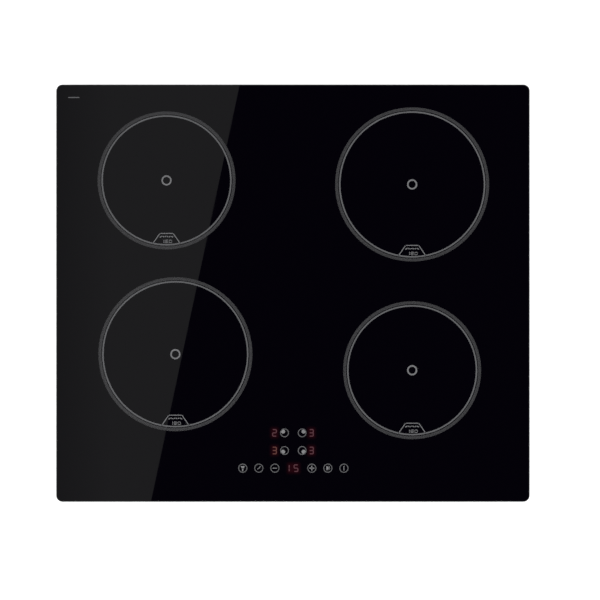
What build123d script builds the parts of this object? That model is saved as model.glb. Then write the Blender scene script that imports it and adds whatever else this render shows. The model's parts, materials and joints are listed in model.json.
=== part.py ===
from build123d import *
import os
from math import atan2, cos, degrees, hypot, radians, sin

# A built-in induction hob with four cooking zones. Millimetres. The origin is under the middle of
# the glass, in the plane that the casing stands on. +Z is up, -Y is the cook's side.

# ---------------------------------------------------------------- driving dimensions
# Glass panel
glass_length = 590.0
glass_depth = 520.0
overall_height = 60.0
glass_thickness = 4.0
glass_corner_radius = 8.0
glass_edge_bevel = 0.8

# Fit in the worktop
overhang = 15.0
cutout_clearance = 4.0
seal_thickness = 2.0
seal_width = 8.0
seal_inset = 3.0

# Support frame and casing, bent from sheet
sheet = 0.8
casing_corner_radius = 6.0
bend_radius = 1.6
adhesive_thickness = 1.0
adhesive_width = 6.0
adhesive_inset = 2.0
flange_width = 15.0
skirt_depth = 18.0
sheet_gap = 0.2
skirt_gap = 0.1

# Casing screws
screw_radius = 2.0
screw_head_radius = 3.8
screw_head_height = 2.0
screw_length = 6.0
screw_hole_gap = 0.1
screw_drop = 9.0
screw_head_round = 1.2
screw_recess_length = 3.6
screw_recess_width = 0.8
screw_recess_depth = 1.0
screw_offset_long = 198.0
screw_offset_side = 120.0

# Cooking zones: name, side, end, edge distances of the centre, printed diameter
zone_table = [
    ("rear_left", -1, 1, 137.5, 119.5, 160.0),
    ("rear_right", 1, 1, 146.5, 124.5, 180.0),
    ("front_left", -1, -1, 148.5, 184.0, 180.0),
    ("front_right", 1, -1, 146.5, 164.0, 160.0),
]

# Enamel print on the glass
print_thickness = 0.1
zone_line = 1.6
zone_band_gap = 1.2
zone_band_width = 3.6
centre_mark_radius = 5.4
centre_mark_line = 1.9
label_rise = 14.0
label_top_half = 8.2
label_bottom_half = 16.8
label_line = 1.2
label_wave_drop = 4.2
label_wave_step = 2.0
label_wave_rise = 1.0
label_wave_line = 0.7
label_number_drop = 9.6
label_digit_height = 3.0
label_digit_width = 2.0
label_digit_pitch = 3.2
label_digit_line = 0.6
icon_radius = 5.1
icon_line = 0.8
zone_dot_radius = 2.4
zone_dot_offset = 2.1

# Touch controls, measured from the front edge of the glass
zone_key_rows = (86.0, 64.0)
function_key_row = 42.0
zone_key_offset = 11.0
digit_offset = 23.0
function_key_offsets = (23.0, 43.0, 63.0)

# Coil stack, from the glass down
coil_gap = 0.3
mica_thickness = 0.5
mica_clearance = 0.3
wire_diameter = 2.9
turn_gap = 0.2
first_turn_radius = 24.0
coil_inside_print = 6.0
former_thickness = 4.5
former_wall = 2.0
former_arm_width = 8.0
former_arm_count = 8
former_foot_radius = 2.8
former_foot_inset = 8.0
winding_play = 0.5
stack_gap = 0.1
ferrite_thickness = 4.0
ferrite_width = 12.0
ferrite_chamfer = 1.0
ferrite_start_radius = 22.0
ferrite_end_inset = 1.0
plate_thickness = 1.5
plate_border = 1.5
plate_hole_radius = 10.0
plate_slot_width = 2.5
plate_slot_inset = 15.0
thermistor_radius = 6.0
thermistor_head = 3.0
thermistor_gap = 1.0
thermistor_collar_border = 3.0
thermistor_collar_height = 1.2

# Springs under the coils
coil_spring_radius = 4.2
coil_spring_wire = 0.8
coil_spring_turns = 3
coil_spring_circle = 52.0

# Coil decks
deck_thickness = 1.0
deck_gap = 1.8
deck_inner_edge = 18.0
deck_wall_gap = 20.0
deck_rear_gap = 11.0
deck_front_edge = 78.0
deck_foot_width = 10.0
deck_leg_width = 40.0
deck_hole_radius = 31.0
deck_foot_inset = 30.0

# Blowers
fan_height = 27.0
fan_lift = 0.4
fan_body = 76.0
fan_wall = 1.6
fan_corner_radius = 8.0
fan_outlet_inset = 2.0
fan_eye_border = 2.0
impeller_radius = 34.0
impeller_depth = 9.0
impeller_gap = 1.0
impeller_plate = 1.5
impeller_rim = 3.0
blade_count = 28
blade_lean = 16.0
blade_sweep = 4.8
blade_angle = 2.0
blade_inset = 0.2
fan_hub_radius = 16.0
fan_hub_depth = 18.0
fan_hub_wall = 2.0
fan_motor_radius = 12.5
fan_motor_top = 4.0
fan_motor_bottom = 11.4
fan_bearing_radius = 5.0
fan_bearing_depth = 13.4
fan_shaft_radius = 1.5
fan_shaft_top = 2.0
fan_shaft_play = 1.0
shaft_fit = 0.05
fan_from_side = 145.0
fan_from_rear = 125.0
fan_outlet_length = 10.0

# Power electronics
board_thickness = 1.6
board_height = 8.0
board_wall_gap = 26.0
board_inner_edge = 26.0
board_front_edge = 82.0
board_length = 238.0
board_post_radius = 4.0
board_post_inset = 8.0
board_hole_radius = 1.6
component_gap = 0.1
heatsink_width = 64.0
heatsink_length = 170.0
heatsink_wall = 4.0
heatsink_fin = 1.4
heatsink_fin_count = 9
heatsink_inset = 6.0
heatsink_lift = 0.4
heatsink_top_gap = 1.2
capacitor_length = 42.0
capacitor_width = 28.0
capacitor_pitch = 52.0
capacitor_heatsink_gap = 6.0
capacitor_top_gap = 2.2
capacitor_round = 1.0
capacitor_count = 3
transistor_width = 16.0
transistor_depth = 5.0
transistor_height = 16.0
transistor_lift = 1.4
transistor_round = 0.6
transistor_lead_pitch = 5.4
transistor_lead_depth = 0.8
transistor_lead_width = 1.2
transistor_lead_top = 2.0
transistor_count = 4
choke_radius = 14.0
choke_section = 6.0
choke_lift = 0.2
choke_from_front = 34.0
choke_from_edge = 38.0
choke_pitch = 52.0

# Control unit under the touch field
control_half_length = 72.0
control_board_drop = 7.4
carrier_wall = 2.0
carrier_border = 6.0
carrier_leg_radius = 4.0
carrier_depth = 5.0
carrier_pin_radius = 1.4
carrier_pin_height = 0.8
control_front_border = 11.0
control_rear_border = 12.0
control_hole_inset = 4.0
display_gap = 0.5
display_width = 9.6
display_depth = 14.0
touch_spring_radius = 4.0
touch_spring_wire = 0.6
touch_spring_turns = 4
ribbon_width = 20.0
ribbon_thickness = 1.0
ribbon_bend = 5.0
ribbon_end_gap = 0.2
ribbon_board_inset = 6.0
ribbon_edge_gap = 4.0
ribbon_from_control_front = 32.0
ribbon_slot_length = 24.0
ribbon_deck_gap = 5.2

# Worktop clamps
clamp_spacing = 145.0
pocket_length = 62.0
pocket_depth = 17.0
clamp_screw_radius = 2.5
clamp_head_radius = 4.5
clamp_head_height = 3.0
clamp_head_lift = 1.0
clamp_head_chamfer = 0.6
clamp_slot_length = 5.0
clamp_slot_width = 1.0
clamp_slot_depth = 1.2
clamp_axis_inset = 8.0
clamp_axis_end_gap = 10.0
clamp_arm_length = 34.0
clamp_arm_width = 14.0
clamp_arm_thickness = 2.5
clamp_boss_wall = 2.0
clamp_boss_height = 5.5
clamp_tip_height = 5.0
clamp_lift = 14.0
clamp_top_clearance = 1.9
bracket_thickness = 1.2
bracket_width = 18.0
bracket_reach = 6.0

# Mains terminal compartment
terminal_length = 96.0
terminal_depth = 58.0
terminal_height = 27.0
terminal_wall = 2.0
terminal_rear_gap = 2.2
inlet_radius = 7.0
inlet_wall = 2.0
inlet_height = 13.0
inlet_reach = 1.0
cover_thickness = 1.6
cover_recess = 0.2
cover_gap = 0.6
cover_catch_width = 8.0
cover_catch_depth = 1.5
cover_catch_inset = 0.3
cover_catch_height = 5.5
cover_catch_offset = 27.24
cover_rib_count = 5
cover_rib_pitch = 13.62
cover_rib_width = 1.2
cover_rib_height = 1.2
cover_rib_inset = 4.0
pole_count = 5
pole_pitch = 12.0
pole_radius = 2.6
pole_well_depth = 10.0
pole_wire_radius = 2.2
pole_wire_depth = 8.0
pole_wire_length = 10.0
pole_offset = 4.0
block_depth = 16.0
block_height = 14.0
block_inset = 18.0
hinge_barrel_radius = 2.0
hinge_pin_radius = 1.2
hinge_wall_gap = 0.8

# Vents and beads in the sheet
vent_width = 3.5
vent_pitch = 7.0
floor_exhaust_length = 24.0
floor_exhaust_inset = 28.8
wall_exhaust_length = 19.2
exhaust_count = 18
bead_width = 9.0
bead_height = 1.2
bead_taper = 30.0
bead_length = 150.0
bead_from_front = 135.0
bead_pitch = 52.0
bead_count = 3

# ---------------------------------------------------------------- derived levels and outlines
glass_top = overall_height
glass_bottom = glass_top - glass_thickness
worktop_top = glass_bottom - seal_thickness
flange_top = glass_bottom - adhesive_thickness
flange_bottom = flange_top - sheet
casing_top = flange_bottom - sheet_gap

cutout_length = glass_length - 2 * overhang
cutout_depth = glass_depth - 2 * overhang
casing_length = cutout_length - 2 * cutout_clearance
casing_depth = cutout_depth - 2 * cutout_clearance
wall_x = casing_length / 2
wall_y = casing_depth / 2

mica_top = glass_bottom - coil_gap
mica_bottom = mica_top - mica_thickness
wire_radius = wire_diameter / 2
wire_centre = mica_bottom - mica_clearance - wire_radius
former_top = mica_bottom - stack_gap
arm_top = wire_centre - wire_radius - stack_gap
arm_bottom = arm_top - former_thickness
ferrite_top = arm_bottom - stack_gap
plate_top = ferrite_top - ferrite_thickness
plate_bottom = plate_top - plate_thickness
turn_pitch = wire_diameter + turn_gap

fan_bottom = sheet + fan_lift
deck_bottom = fan_bottom + fan_height + deck_gap
deck_top = deck_bottom + deck_thickness
board_top = board_height + board_thickness

fan_eye_radius = impeller_radius - impeller_depth + fan_eye_border
fan_x = glass_length / 2 - fan_from_side
fan_y = glass_depth / 2 - fan_from_rear
front_y = -glass_depth / 2

pocket_inner_x = wall_x - pocket_depth
clamp_x = wall_x - clamp_axis_inset
clamp_flange_bottom = clamp_head_lift + clamp_head_height
arm_rest_bottom = clamp_flange_bottom + bracket_thickness + stack_gap
arm_raised_top = arm_rest_bottom + clamp_boss_height + clamp_lift
pocket_height = arm_raised_top + clamp_top_clearance + bracket_thickness + stack_gap

terminal_rear = wall_y - sheet - terminal_rear_gap
terminal_front = terminal_rear - terminal_depth
terminal_top = sheet + terminal_height
hinge_y = terminal_front + terminal_wall + hinge_wall_gap + hinge_barrel_radius
hinge_z = cover_recess + hinge_barrel_radius

board_y0 = front_y + function_key_row - control_front_border
board_y1 = front_y + zone_key_rows[0] + control_rear_border
control_top = glass_bottom - control_board_drop
control_bottom = control_top - board_thickness


# ---------------------------------------------------------------- helpers
def block(x0, x1, y0, y1, z0, z1):
    """A block between two opposite corners."""
    centre = Pos((x0 + x1) / 2, (y0 + y1) / 2, (z0 + z1) / 2)
    return centre * Box(abs(x1 - x0), abs(y1 - y0), abs(z1 - z0))


def disc(radius, z0, z1, x=0.0, y=0.0):
    """An upright round bar from z0 to z1."""
    return Pos(x, y, (z0 + z1) / 2) * Cylinder(radius, z1 - z0)


def tube(outer, inner, z0, z1, x=0.0, y=0.0):
    """An upright round tube from z0 to z1."""
    return disc(outer, z0, z1, x, y) - disc(inner, z0 - 1, z1 + 1, x, y)


def slab(length, depth, corner, z0, z1):
    """A plate with round corners, centred on the origin."""
    return Pos(0, 0, z0) * extrude(RectangleRounded(length, depth, corner), z1 - z0)


def frame_ring(length, depth, corner, width, z0, z1):
    """A rectangular ring with round corners and a constant width."""
    inner_corner = max(corner - width, 0.5)
    inner = slab(length - 2 * width, depth - 2 * width, inner_corner, z0 - 1, z1 + 1)
    return slab(length, depth, corner, z0, z1) - inner


def polar(radius, angle):
    """The point at a radius and an angle in degrees."""
    return (radius * cos(radians(angle)), radius * sin(radians(angle)))


def bottom_edges(solid):
    """The lowest edges of a solid."""
    return solid.edges().group_by(Axis.Z)[0]


def group(solids):
    """Separate solids that share one node."""
    pieces = []
    for solid in solids:
        pieces.extend(solid.solids())
    return Compound(children=pieces)


def spring(radius, wire, turns, z0, z1):
    """An open compression spring that stands between z0 and z1. Its wire has eight flats."""
    rise = z1 - z0 - wire - 2 * stack_gap
    path = Helix(pitch=rise / turns, height=rise, radius=radius)
    section = Plane(origin=path @ 0, z_dir=path % 0) * RegularPolygon(wire / 2, 8)
    coil = sweep(section, path=path, is_frenet=True)
    return Pos(0, 0, z0 + wire / 2 + stack_gap) * coil


def write(node, shape):
    """One STEP file for one node."""
    export_step(shape, f"parts/{node}.step")


class Zone:
    """One cooking zone: its place on the glass and the sizes of the coil below it."""

    def __init__(self, name, side, end, from_side, from_end, diameter):
        self.name = name
        self.x = side * (glass_length / 2 - from_side)
        self.y = end * (glass_depth / 2 - from_end)
        self.radius = diameter / 2
        self.label = str(int(diameter))
        winding_room = self.radius - coil_inside_print - first_turn_radius
        self.turns = int(winding_room / turn_pitch)
        self.winding_radius = first_turn_radius + self.turns * turn_pitch + wire_radius
        self.rim_radius = self.winding_radius + winding_play + former_wall

    def place(self, shape):
        return Pos(self.x, self.y, 0) * shape


zones = [Zone(*row) for row in zone_table]


# ---------------------------------------------------------------- glass, print and seal
def glass_panel():
    panel = slab(glass_length, glass_depth, glass_corner_radius, glass_bottom, glass_top)
    rims = panel.edges().group_by(Axis.Z)
    return chamfer(rims[0] + rims[-1], glass_edge_bevel)


def sealing_strip():
    length = glass_length - 2 * seal_inset
    depth = glass_depth - 2 * seal_inset
    corner = glass_corner_radius - seal_inset
    return frame_ring(length, depth, corner, seal_width, worktop_top, glass_bottom)


def adhesive_bead():
    length = casing_length - 2 * adhesive_inset
    depth = casing_depth - 2 * adhesive_inset
    corner = casing_corner_radius - adhesive_inset
    return frame_ring(length, depth, corner, adhesive_width, flange_top, glass_bottom)


def stroke(start, end, width):
    """A straight printed stroke with round ends."""
    length = hypot(end[0] - start[0], end[1] - start[1])
    angle = degrees(atan2(end[1] - start[1], end[0] - start[0]))
    middle = Pos((start[0] + end[0]) / 2, (start[1] + end[1]) / 2)
    return middle * Rot(0, 0, angle) * SlotCenterToCenter(length, width)


def ring(radius, width):
    """A printed circle, drawn about its centre line."""
    return Circle(radius + width / 2) - Circle(radius - width / 2)


segment_ends = {
    "a": ((0, 1), (1, 1)),
    "b": ((1, 1), (1, 0.5)),
    "c": ((1, 0.5), (1, 0)),
    "d": ((0, 0), (1, 0)),
    "e": ((0, 0), (0, 0.5)),
    "f": ((0, 0.5), (0, 1)),
    "g": ((0, 0.5), (1, 0.5)),
}
digit_segments = {"0": "abcdef", "1": "bc", "6": "acdefg", "8": "abcdefg"}


def numeral(text):
    """A row of plain seven-bar digits, centred on the origin."""
    marks = []
    for place, digit in enumerate(text):
        left = (place - (len(text) - 1) / 2) * label_digit_pitch - label_digit_width / 2
        for name in digit_segments[digit]:
            ends = []
            for u, v in segment_ends[name]:
                ends.append((left + u * label_digit_width, (v - 0.5) * label_digit_height))
            marks.append(stroke(ends[0], ends[1], label_digit_line))
    return marks


def wave():
    """A zigzag line across the label, which stands for the coil's field."""
    points = []
    for step in range(-3, 4):
        points.append((step * label_wave_step, label_wave_rise * (-1) ** step))
    return [stroke(start, end, label_wave_line) for start, end in zip(points, points[1:])]


def zone_marks(zone):
    """The printed circle, its outer band, the centre mark and the size label of one zone."""
    band_inner = zone.radius + zone_line / 2 + zone_band_gap
    marks = [ring(zone.radius, zone_line)]
    marks.append(ring(band_inner + zone_band_width / 2, zone_band_width))
    marks.append(ring(centre_mark_radius, centre_mark_line))
    foot = -(zone.radius**2 - label_bottom_half**2) ** 0.5
    top = -zone.radius + label_rise
    left_foot = (-label_bottom_half, foot)
    left_top = (-label_top_half, top)
    right_top = (label_top_half, top)
    right_foot = (label_bottom_half, foot)
    marks.append(stroke(left_foot, left_top, label_line))
    marks.append(stroke(left_top, right_top, label_line))
    marks.append(stroke(right_top, right_foot, label_line))
    marks.extend(Pos(0, top - label_wave_drop) * mark for mark in wave())
    marks.extend(Pos(0, top - label_number_drop) * mark for mark in numeral(zone.label))
    return [Pos(zone.x, zone.y) * mark for mark in marks]


def zone_key_marks():
    """Four keys that choose a zone: a circle with a dot on the side of its zone."""
    marks = []
    for row, from_front in zip((1, -1), zone_key_rows):
        for side in (-1, 1):
            centre = Pos(side * zone_key_offset, front_y + from_front)
            dot = Pos(side * zone_dot_offset, row * zone_dot_offset) * Circle(zone_dot_radius)
            marks.append(centre * ring(icon_radius, icon_line))
            marks.append(centre * dot)
    return marks


def function_key_marks():
    """Six round keys: lock, timer, minus, plus, boost and on/off."""
    near, middle, far = function_key_offsets
    lock = make_face(Polyline((-0.9, -0.6), (0.9, -0.6), (2.5, 2.6), (-2.5, 2.6), close=True))
    arrow = make_face(
        Polyline((-1.9, -2.4), (-0.6, -2.4), (1.4, 0), (-0.6, 2.4), (-1.9, 2.4), close=True)
    )
    glyphs = {
        -far: [lock, stroke((0, -0.2), (0, -2.9), 1.5)],
        -middle: [stroke((-1.6, -0.9), (0, -0.4), 1.2), stroke((0, -0.4), (2, 2.2), 1.2)],
        -near: [stroke((-2.6, 0), (2.6, 0), 1.3)],
        near: [stroke((-2.6, 0), (2.6, 0), 1.3), stroke((0, -2.6), (0, 2.6), 1.3)],
        middle: [arrow, stroke((1.3, -2), (2.4, 0), 0.8), stroke((2.4, 0), (1.3, 2), 0.8)],
        far: [stroke((0, -2.8), (0, 2.8), 1.3)],
    }
    marks = []
    for offset, strokes in glyphs.items():
        centre = Pos(offset, front_y + function_key_row)
        marks.append(centre * ring(icon_radius, icon_line))
        marks.extend(centre * mark for mark in strokes)
    return marks


def ceramic_print():
    marks = zone_key_marks() + function_key_marks()
    for zone in zones:
        marks.extend(zone_marks(zone))
    sketch = Sketch() + marks
    return Pos(0, 0, glass_top) * extrude(sketch, print_thickness)


# ---------------------------------------------------------------- frame and casing
def screw_places():
    """Casing screws: a point on the wall's outside, and the outward angle."""
    places = []
    for end in (-1, 1):
        for step in (-1, 0, 1):
            places.append((step * screw_offset_long, end * wall_y, end * 90))
    for side in (-1, 1):
        for end in (-1, 1):
            places.append((side * wall_x, end * screw_offset_side, 90 - side * 90))
    return places


def outward(place, shape):
    """Turns a shape built along +X to stand on the casing's wall, pointing out."""
    x, y, angle = place
    return Pos(x, y, casing_top - screw_drop) * Rot(0, 0, angle) * shape


def wall_holes():
    hole = Rot(0, 90, 0) * Cylinder(screw_radius + screw_hole_gap, 4 * screw_radius)
    return [outward(place, hole) for place in screw_places()]


def support_frame():
    flange = frame_ring(
        casing_length, casing_depth, casing_corner_radius, flange_width, flange_bottom, flange_top
    )
    inset = sheet + skirt_gap
    skirt = frame_ring(
        casing_length - 2 * inset,
        casing_depth - 2 * inset,
        casing_corner_radius - inset,
        sheet,
        flange_top - skirt_depth,
        flange_top,
    )
    return flange + skirt - wall_holes()


def casing_screws():
    head = Pos(screw_head_height / 2, 0, 0) * Rot(0, 90, 0)
    head = head * Cylinder(screw_head_radius, screw_head_height)
    head = fillet(head.edges().group_by(Axis.X)[-1], screw_head_round)
    shank = Pos(-screw_length / 2, 0, 0) * Rot(0, 90, 0) * Cylinder(screw_radius, screw_length)
    depth = 2 * screw_recess_depth
    recess = Box(depth, screw_recess_length, screw_recess_width)
    recess += Box(depth, screw_recess_width, screw_recess_length)
    screw = head + shank - Pos(screw_head_height, 0, 0) * recess
    return group([outward(place, screw) for place in screw_places()])


def clamp_places():
    """The clamps: name, and the turn about Z that takes the rear right one to its place."""
    return [
        ("rear_right", 0, clamp_spacing),
        ("front_right", 0, -clamp_spacing),
        ("front_left", 180, clamp_spacing),
        ("rear_left", 180, -clamp_spacing),
    ]


def at_clamp(angle, middle, shape):
    """Places a shape that is built about the clamp's screw axis."""
    axis_y = middle + pocket_length / 2 - clamp_axis_end_gap
    return Rot(0, 0, angle) * Pos(clamp_x, axis_y, 0) * shape


def pocket(border, open_side):
    """The recess for one clamp, as wide as its room or larger by a border of sheet."""
    front = -(pocket_length - clamp_axis_end_gap) - border
    rear = clamp_axis_end_gap + border
    inner = pocket_inner_x - clamp_x - border
    outer = wall_x - clamp_x + open_side
    low = -open_side
    return block(inner, outer, front, rear, low, pocket_height + border)


def vent_slot(length):
    """A straight vent with round ends, cut down through the bottom sheet."""
    return Pos(0, 0, -1) * extrude(SlotOverall(length, vent_width), 4)


def intake_vents():
    """Slots below the eye of each blower, shorter towards the sides of the eye."""
    rows = int(fan_eye_radius / vent_pitch)
    vents = []
    for side in (-1, 1):
        for row in range(-rows, rows + 1):
            y = row * vent_pitch
            length = 2 * (fan_eye_radius**2 - y**2) ** 0.5
            vents.append(Pos(side * fan_x, fan_y + y, 0) * vent_slot(length))
    return vents


def exhaust_vents():
    """A row of slots near the front of the bottom, and upright ones in the front wall."""
    vents = []
    low = sheet + bead_width
    for side in (-1, 1):
        for step in range(exhaust_count):
            x = side * (fan_x + (step - (exhaust_count - 1) / 2) * vent_pitch)
            floor_slot = Rot(0, 0, 90) * vent_slot(floor_exhaust_length)
            vents.append(Pos(x, -wall_y + floor_exhaust_inset, 0) * floor_slot)
            wall_slot = Rot(90, 0, 0) * Rot(0, 0, 90) * vent_slot(wall_exhaust_length)
            vents.append(Pos(x, -wall_y, low + wall_exhaust_length / 2) * wall_slot)
    return vents


def bead(length, x, y, angle):
    """A stiffening bead: the rise inside the sheet and the groove below it."""
    place = Pos(x, y, 0) * Rot(0, 0, angle)
    outline = SlotOverall(length, bead_width)
    rise = place * Pos(0, 0, sheet) * extrude(outline, bead_height, taper=bead_taper)
    groove_outline = SlotOverall(length - sheet, bead_width - sheet)
    groove = place * extrude(groove_outline, bead_height, taper=bead_taper)
    return rise, groove


def bead_places():
    """Beads across the middle of the bottom: length, centre and angle."""
    first = front_y + bead_from_front
    return [(bead_length, 0, first + step * bead_pitch, 0) for step in range(bead_count)]


def board_posts():
    """The four posts that carry each power board."""
    places = []
    for side in (-1, 1):
        for x in (board_inner_edge + board_post_inset, wall_x - board_wall_gap - board_post_inset):
            for y in (board_post_inset, board_length - board_post_inset):
                places.append((side * x, front_y + board_front_edge + y))
    return places


def bottom_casing():
    outer = slab(casing_length, casing_depth, casing_corner_radius, 0, casing_top)
    outer = fillet(bottom_edges(outer), bend_radius)
    inner = slab(
        casing_length - 2 * sheet,
        casing_depth - 2 * sheet,
        casing_corner_radius - sheet,
        sheet,
        casing_top + 1,
    )
    inner = fillet(bottom_edges(inner), bend_radius - sheet)
    casing = outer - inner
    envelope = slab(casing_length, casing_depth, casing_corner_radius, 0, casing_top)
    for _, angle, middle in clamp_places():
        shell = at_clamp(angle, middle, pocket(sheet, 0)) & envelope
        casing += shell
    casing -= [at_clamp(angle, middle, pocket(0, 2)) for _, angle, middle in clamp_places()]
    for place in bead_places():
        rise, groove = bead(*place)
        casing = casing + rise - groove
    posts = [disc(board_post_radius, sheet, board_height, x, y) for x, y in board_posts()]
    casing += posts
    half_mouth = terminal_length / 2 - terminal_wall
    mouth_front = terminal_front + terminal_wall
    mouth_rear = terminal_rear - terminal_wall
    mouth = block(-half_mouth, half_mouth, mouth_front, mouth_rear, -1, sheet + 1)
    collar = inlet_radius + inlet_wall + screw_hole_gap
    inlet = Pos(0, wall_y, inlet_height) * Rot(90, 0, 0) * Cylinder(collar, 6 * sheet)
    return casing - [mouth, inlet] - wall_holes() - intake_vents() - exhaust_vents()


# ---------------------------------------------------------------- worktop clamps
def clamp_bracket():
    """A C-shaped bracket that carries the screw at its head and at its tip."""
    inner = pocket_inner_x - clamp_x
    half = bracket_width / 2
    top = pocket_height - stack_gap
    web = block(inner, inner + bracket_thickness, -half, half, clamp_flange_bottom, top)
    low = block(
        inner,
        bracket_reach,
        -half,
        half,
        clamp_flange_bottom,
        clamp_flange_bottom + bracket_thickness,
    )
    high = block(inner, bracket_reach, -half, half, top - bracket_thickness, top)
    hole = disc(clamp_screw_radius + screw_hole_gap, 0, pocket_height + 1)
    return web + low + high - hole


def clamp_screw():
    head = disc(clamp_head_radius, clamp_head_lift, clamp_flange_bottom - stack_gap)
    head = chamfer(bottom_edges(head), clamp_head_chamfer)
    shank = disc(clamp_screw_radius, clamp_head_lift, pocket_height - 2 * stack_gap)
    depth = 2 * clamp_slot_depth
    recess = Box(clamp_slot_length, clamp_slot_width, depth)
    recess += Box(clamp_slot_width, clamp_slot_length, depth)
    return head + shank - Pos(0, 0, clamp_head_lift) * recess


def clamp_arm():
    """A flat finger with a threaded boss, parked along the wall and pointing to the front."""
    half = clamp_arm_width / 2
    low = arm_rest_bottom
    finger = block(-half, half, -clamp_arm_length, 0, low, low + clamp_arm_thickness)
    finger += disc(half, low, low + clamp_arm_thickness)
    boss = disc(clamp_screw_radius + clamp_boss_wall, low, low + clamp_boss_height)
    tip = block(
        -half,
        half,
        -clamp_arm_length,
        -clamp_arm_length + clamp_arm_thickness,
        low,
        low + clamp_tip_height,
    )
    bore = disc(clamp_screw_radius + shaft_fit, 0, pocket_height)
    return finger + boss + tip - bore


# ---------------------------------------------------------------- coils
def coil_plate(zone):
    radius = zone.rim_radius + plate_border
    plate = tube(radius, plate_hole_radius, plate_bottom, plate_top)
    room = radius - plate_hole_radius - 2 * plate_slot_inset
    middle = (radius + plate_hole_radius) / 2
    outline = SlotOverall(room, plate_slot_width)
    slots = []
    for turn in range(former_arm_count):
        slot = Pos(middle, 0, plate_bottom - 1) * extrude(outline, plate_thickness + 2)
        slots.append(Rot(0, 0, turn * 360 / former_arm_count) * slot)
    return plate - slots


def ferrite_bars(zone):
    """Flat ferrite bars that lie like spokes on the plate, between the former's arms."""
    end = zone.winding_radius - ferrite_end_inset
    half = ferrite_width / 2
    bar = block(ferrite_start_radius, end, -half, half, plate_top, ferrite_top)
    bar = chamfer(bar.edges().filter_by(Axis.Z), ferrite_chamfer)
    step = 360 / former_arm_count
    return group([Rot(0, 0, (turn + 0.5) * step) * bar for turn in range(former_arm_count)])


def coil_former(zone):
    """A moulded wheel: hub, rim and spokes below the winding, and a foot under each spoke."""
    hub_outer = first_turn_radius - wire_radius - winding_play
    hub = tube(hub_outer, hub_outer - former_wall, arm_bottom, former_top)
    rim = tube(zone.rim_radius, zone.rim_radius - former_wall, arm_bottom, former_top)
    wheel = hub + rim
    for turn in range(former_arm_count):
        arm = block(
            hub_outer - former_wall / 2,
            zone.rim_radius - former_wall / 2,
            -former_arm_width / 2,
            former_arm_width / 2,
            arm_bottom,
            arm_top,
        )
        foot = disc(former_foot_radius, plate_top, arm_top, zone.rim_radius - former_foot_inset)
        wheel += Rot(0, 0, turn * 360 / former_arm_count) * (arm + foot)
    return wheel


def coil_winding(zone):
    """A flat spiral of litz wire, drawn with half circles about two close centres.

    The bundle's section is a polygon, as twisted strands are never quite round."""
    arcs = []
    here = first_turn_radius
    for half_turn in range(2 * zone.turns):
        side = 1 if half_turn % 2 == 0 else -1
        radius = first_turn_radius + half_turn * turn_pitch / 2
        centre = here - side * radius
        there = centre - side * radius
        middle = (centre, side * radius, 0)
        arcs.append(ThreePointArc((here, 0, 0), middle, (there, 0, 0)))
        here = there
    path = Wire(arcs)
    section = Plane(origin=path @ 0, z_dir=path % 0) * RegularPolygon(wire_radius, 10)
    return Pos(0, 0, wire_centre) * sweep(section, path=path)


def mica_sheet(zone):
    return tube(zone.rim_radius, thermistor_radius + thermistor_gap, mica_bottom, mica_top)


def thermistor():
    """A temperature sensor on a stem, with its flat head just under the glass."""
    head_bottom = mica_bottom - thermistor_head
    head = disc(thermistor_radius, head_bottom, mica_top)
    stem = disc(thermistor_radius / 2, plate_bottom, head_bottom)
    collar_radius = plate_hole_radius + thermistor_collar_border
    collar = disc(collar_radius, plate_top, plate_top + thermistor_collar_height)
    return head + stem + collar


def coil_spring_places():
    places = []
    for zone in zones:
        for turn in range(3):
            dx, dy = polar(coil_spring_circle, 90 + 120 * turn)
            places.append((zone.x + dx, zone.y + dy))
    return places


def coil_springs():
    one = spring(
        coil_spring_radius, coil_spring_wire, coil_spring_turns, deck_top, plate_bottom
    )
    return group([Pos(x, y, 0) * one for x, y in coil_spring_places()])


def coil_deck(side):
    """A bridge of sheet that carries the two coils of one side above the boards.

    Two legs stand along each of its long edges, and the rear ones have a turned-in foot."""
    inner = deck_inner_edge
    outer = wall_x - deck_wall_gap
    front = front_y + deck_front_edge
    rear = wall_y - deck_rear_gap
    foot_y = front_y + board_front_edge + board_length - deck_foot_inset
    foot_top = sheet + deck_thickness
    deck = block(inner, outer, front, rear, deck_bottom, deck_top)
    for leg_y in (front, foot_y):
        deck += block(inner, inner + deck_thickness, leg_y, leg_y + deck_leg_width, sheet, deck_top)
        deck += block(outer - deck_thickness, outer, leg_y, leg_y + deck_leg_width, sheet, deck_top)
    deck += block(inner, inner + deck_foot_width, foot_y, foot_y + deck_leg_width, sheet, foot_top)
    deck += block(outer - deck_foot_width, outer, foot_y, foot_y + deck_leg_width, sheet, foot_top)
    if side < 0:
        deck = mirror(deck, about=Plane.YZ)
    below_coils = []
    for zone in zones:
        if zone.x * side > 0:
            below_coils.append(zone.place(disc(deck_hole_radius, deck_bottom - 1, deck_top + 1)))
    return deck - below_coils


# ---------------------------------------------------------------- blowers
def fan_housing():
    """A radial blower's case, with its eye below and its outlet to the front."""
    half = fan_body / 2
    chamber = half - fan_wall
    outlet_side = -fan_outlet_inset
    case = extrude(RectangleRounded(fan_body, fan_body, fan_corner_radius), fan_height)
    case += block(outlet_side, half, -half - fan_outlet_length, 0, 0, fan_height)
    case -= disc(chamber, fan_wall, fan_height - fan_wall)
    case -= block(
        outlet_side + fan_wall,
        chamber,
        -half - fan_outlet_length - 1,
        0,
        fan_wall,
        fan_height - fan_wall,
    )
    case -= disc(fan_eye_radius, -1, fan_wall + 1)
    roof = fan_height - fan_wall
    case += disc(fan_bearing_radius, roof - fan_bearing_depth, roof)
    case += disc(fan_motor_radius, roof - fan_motor_bottom, roof - fan_motor_top)
    bore_top = roof - impeller_gap - fan_shaft_top + fan_shaft_play
    case -= disc(fan_shaft_radius + shaft_fit, fan_wall, bore_top)
    return case


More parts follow.
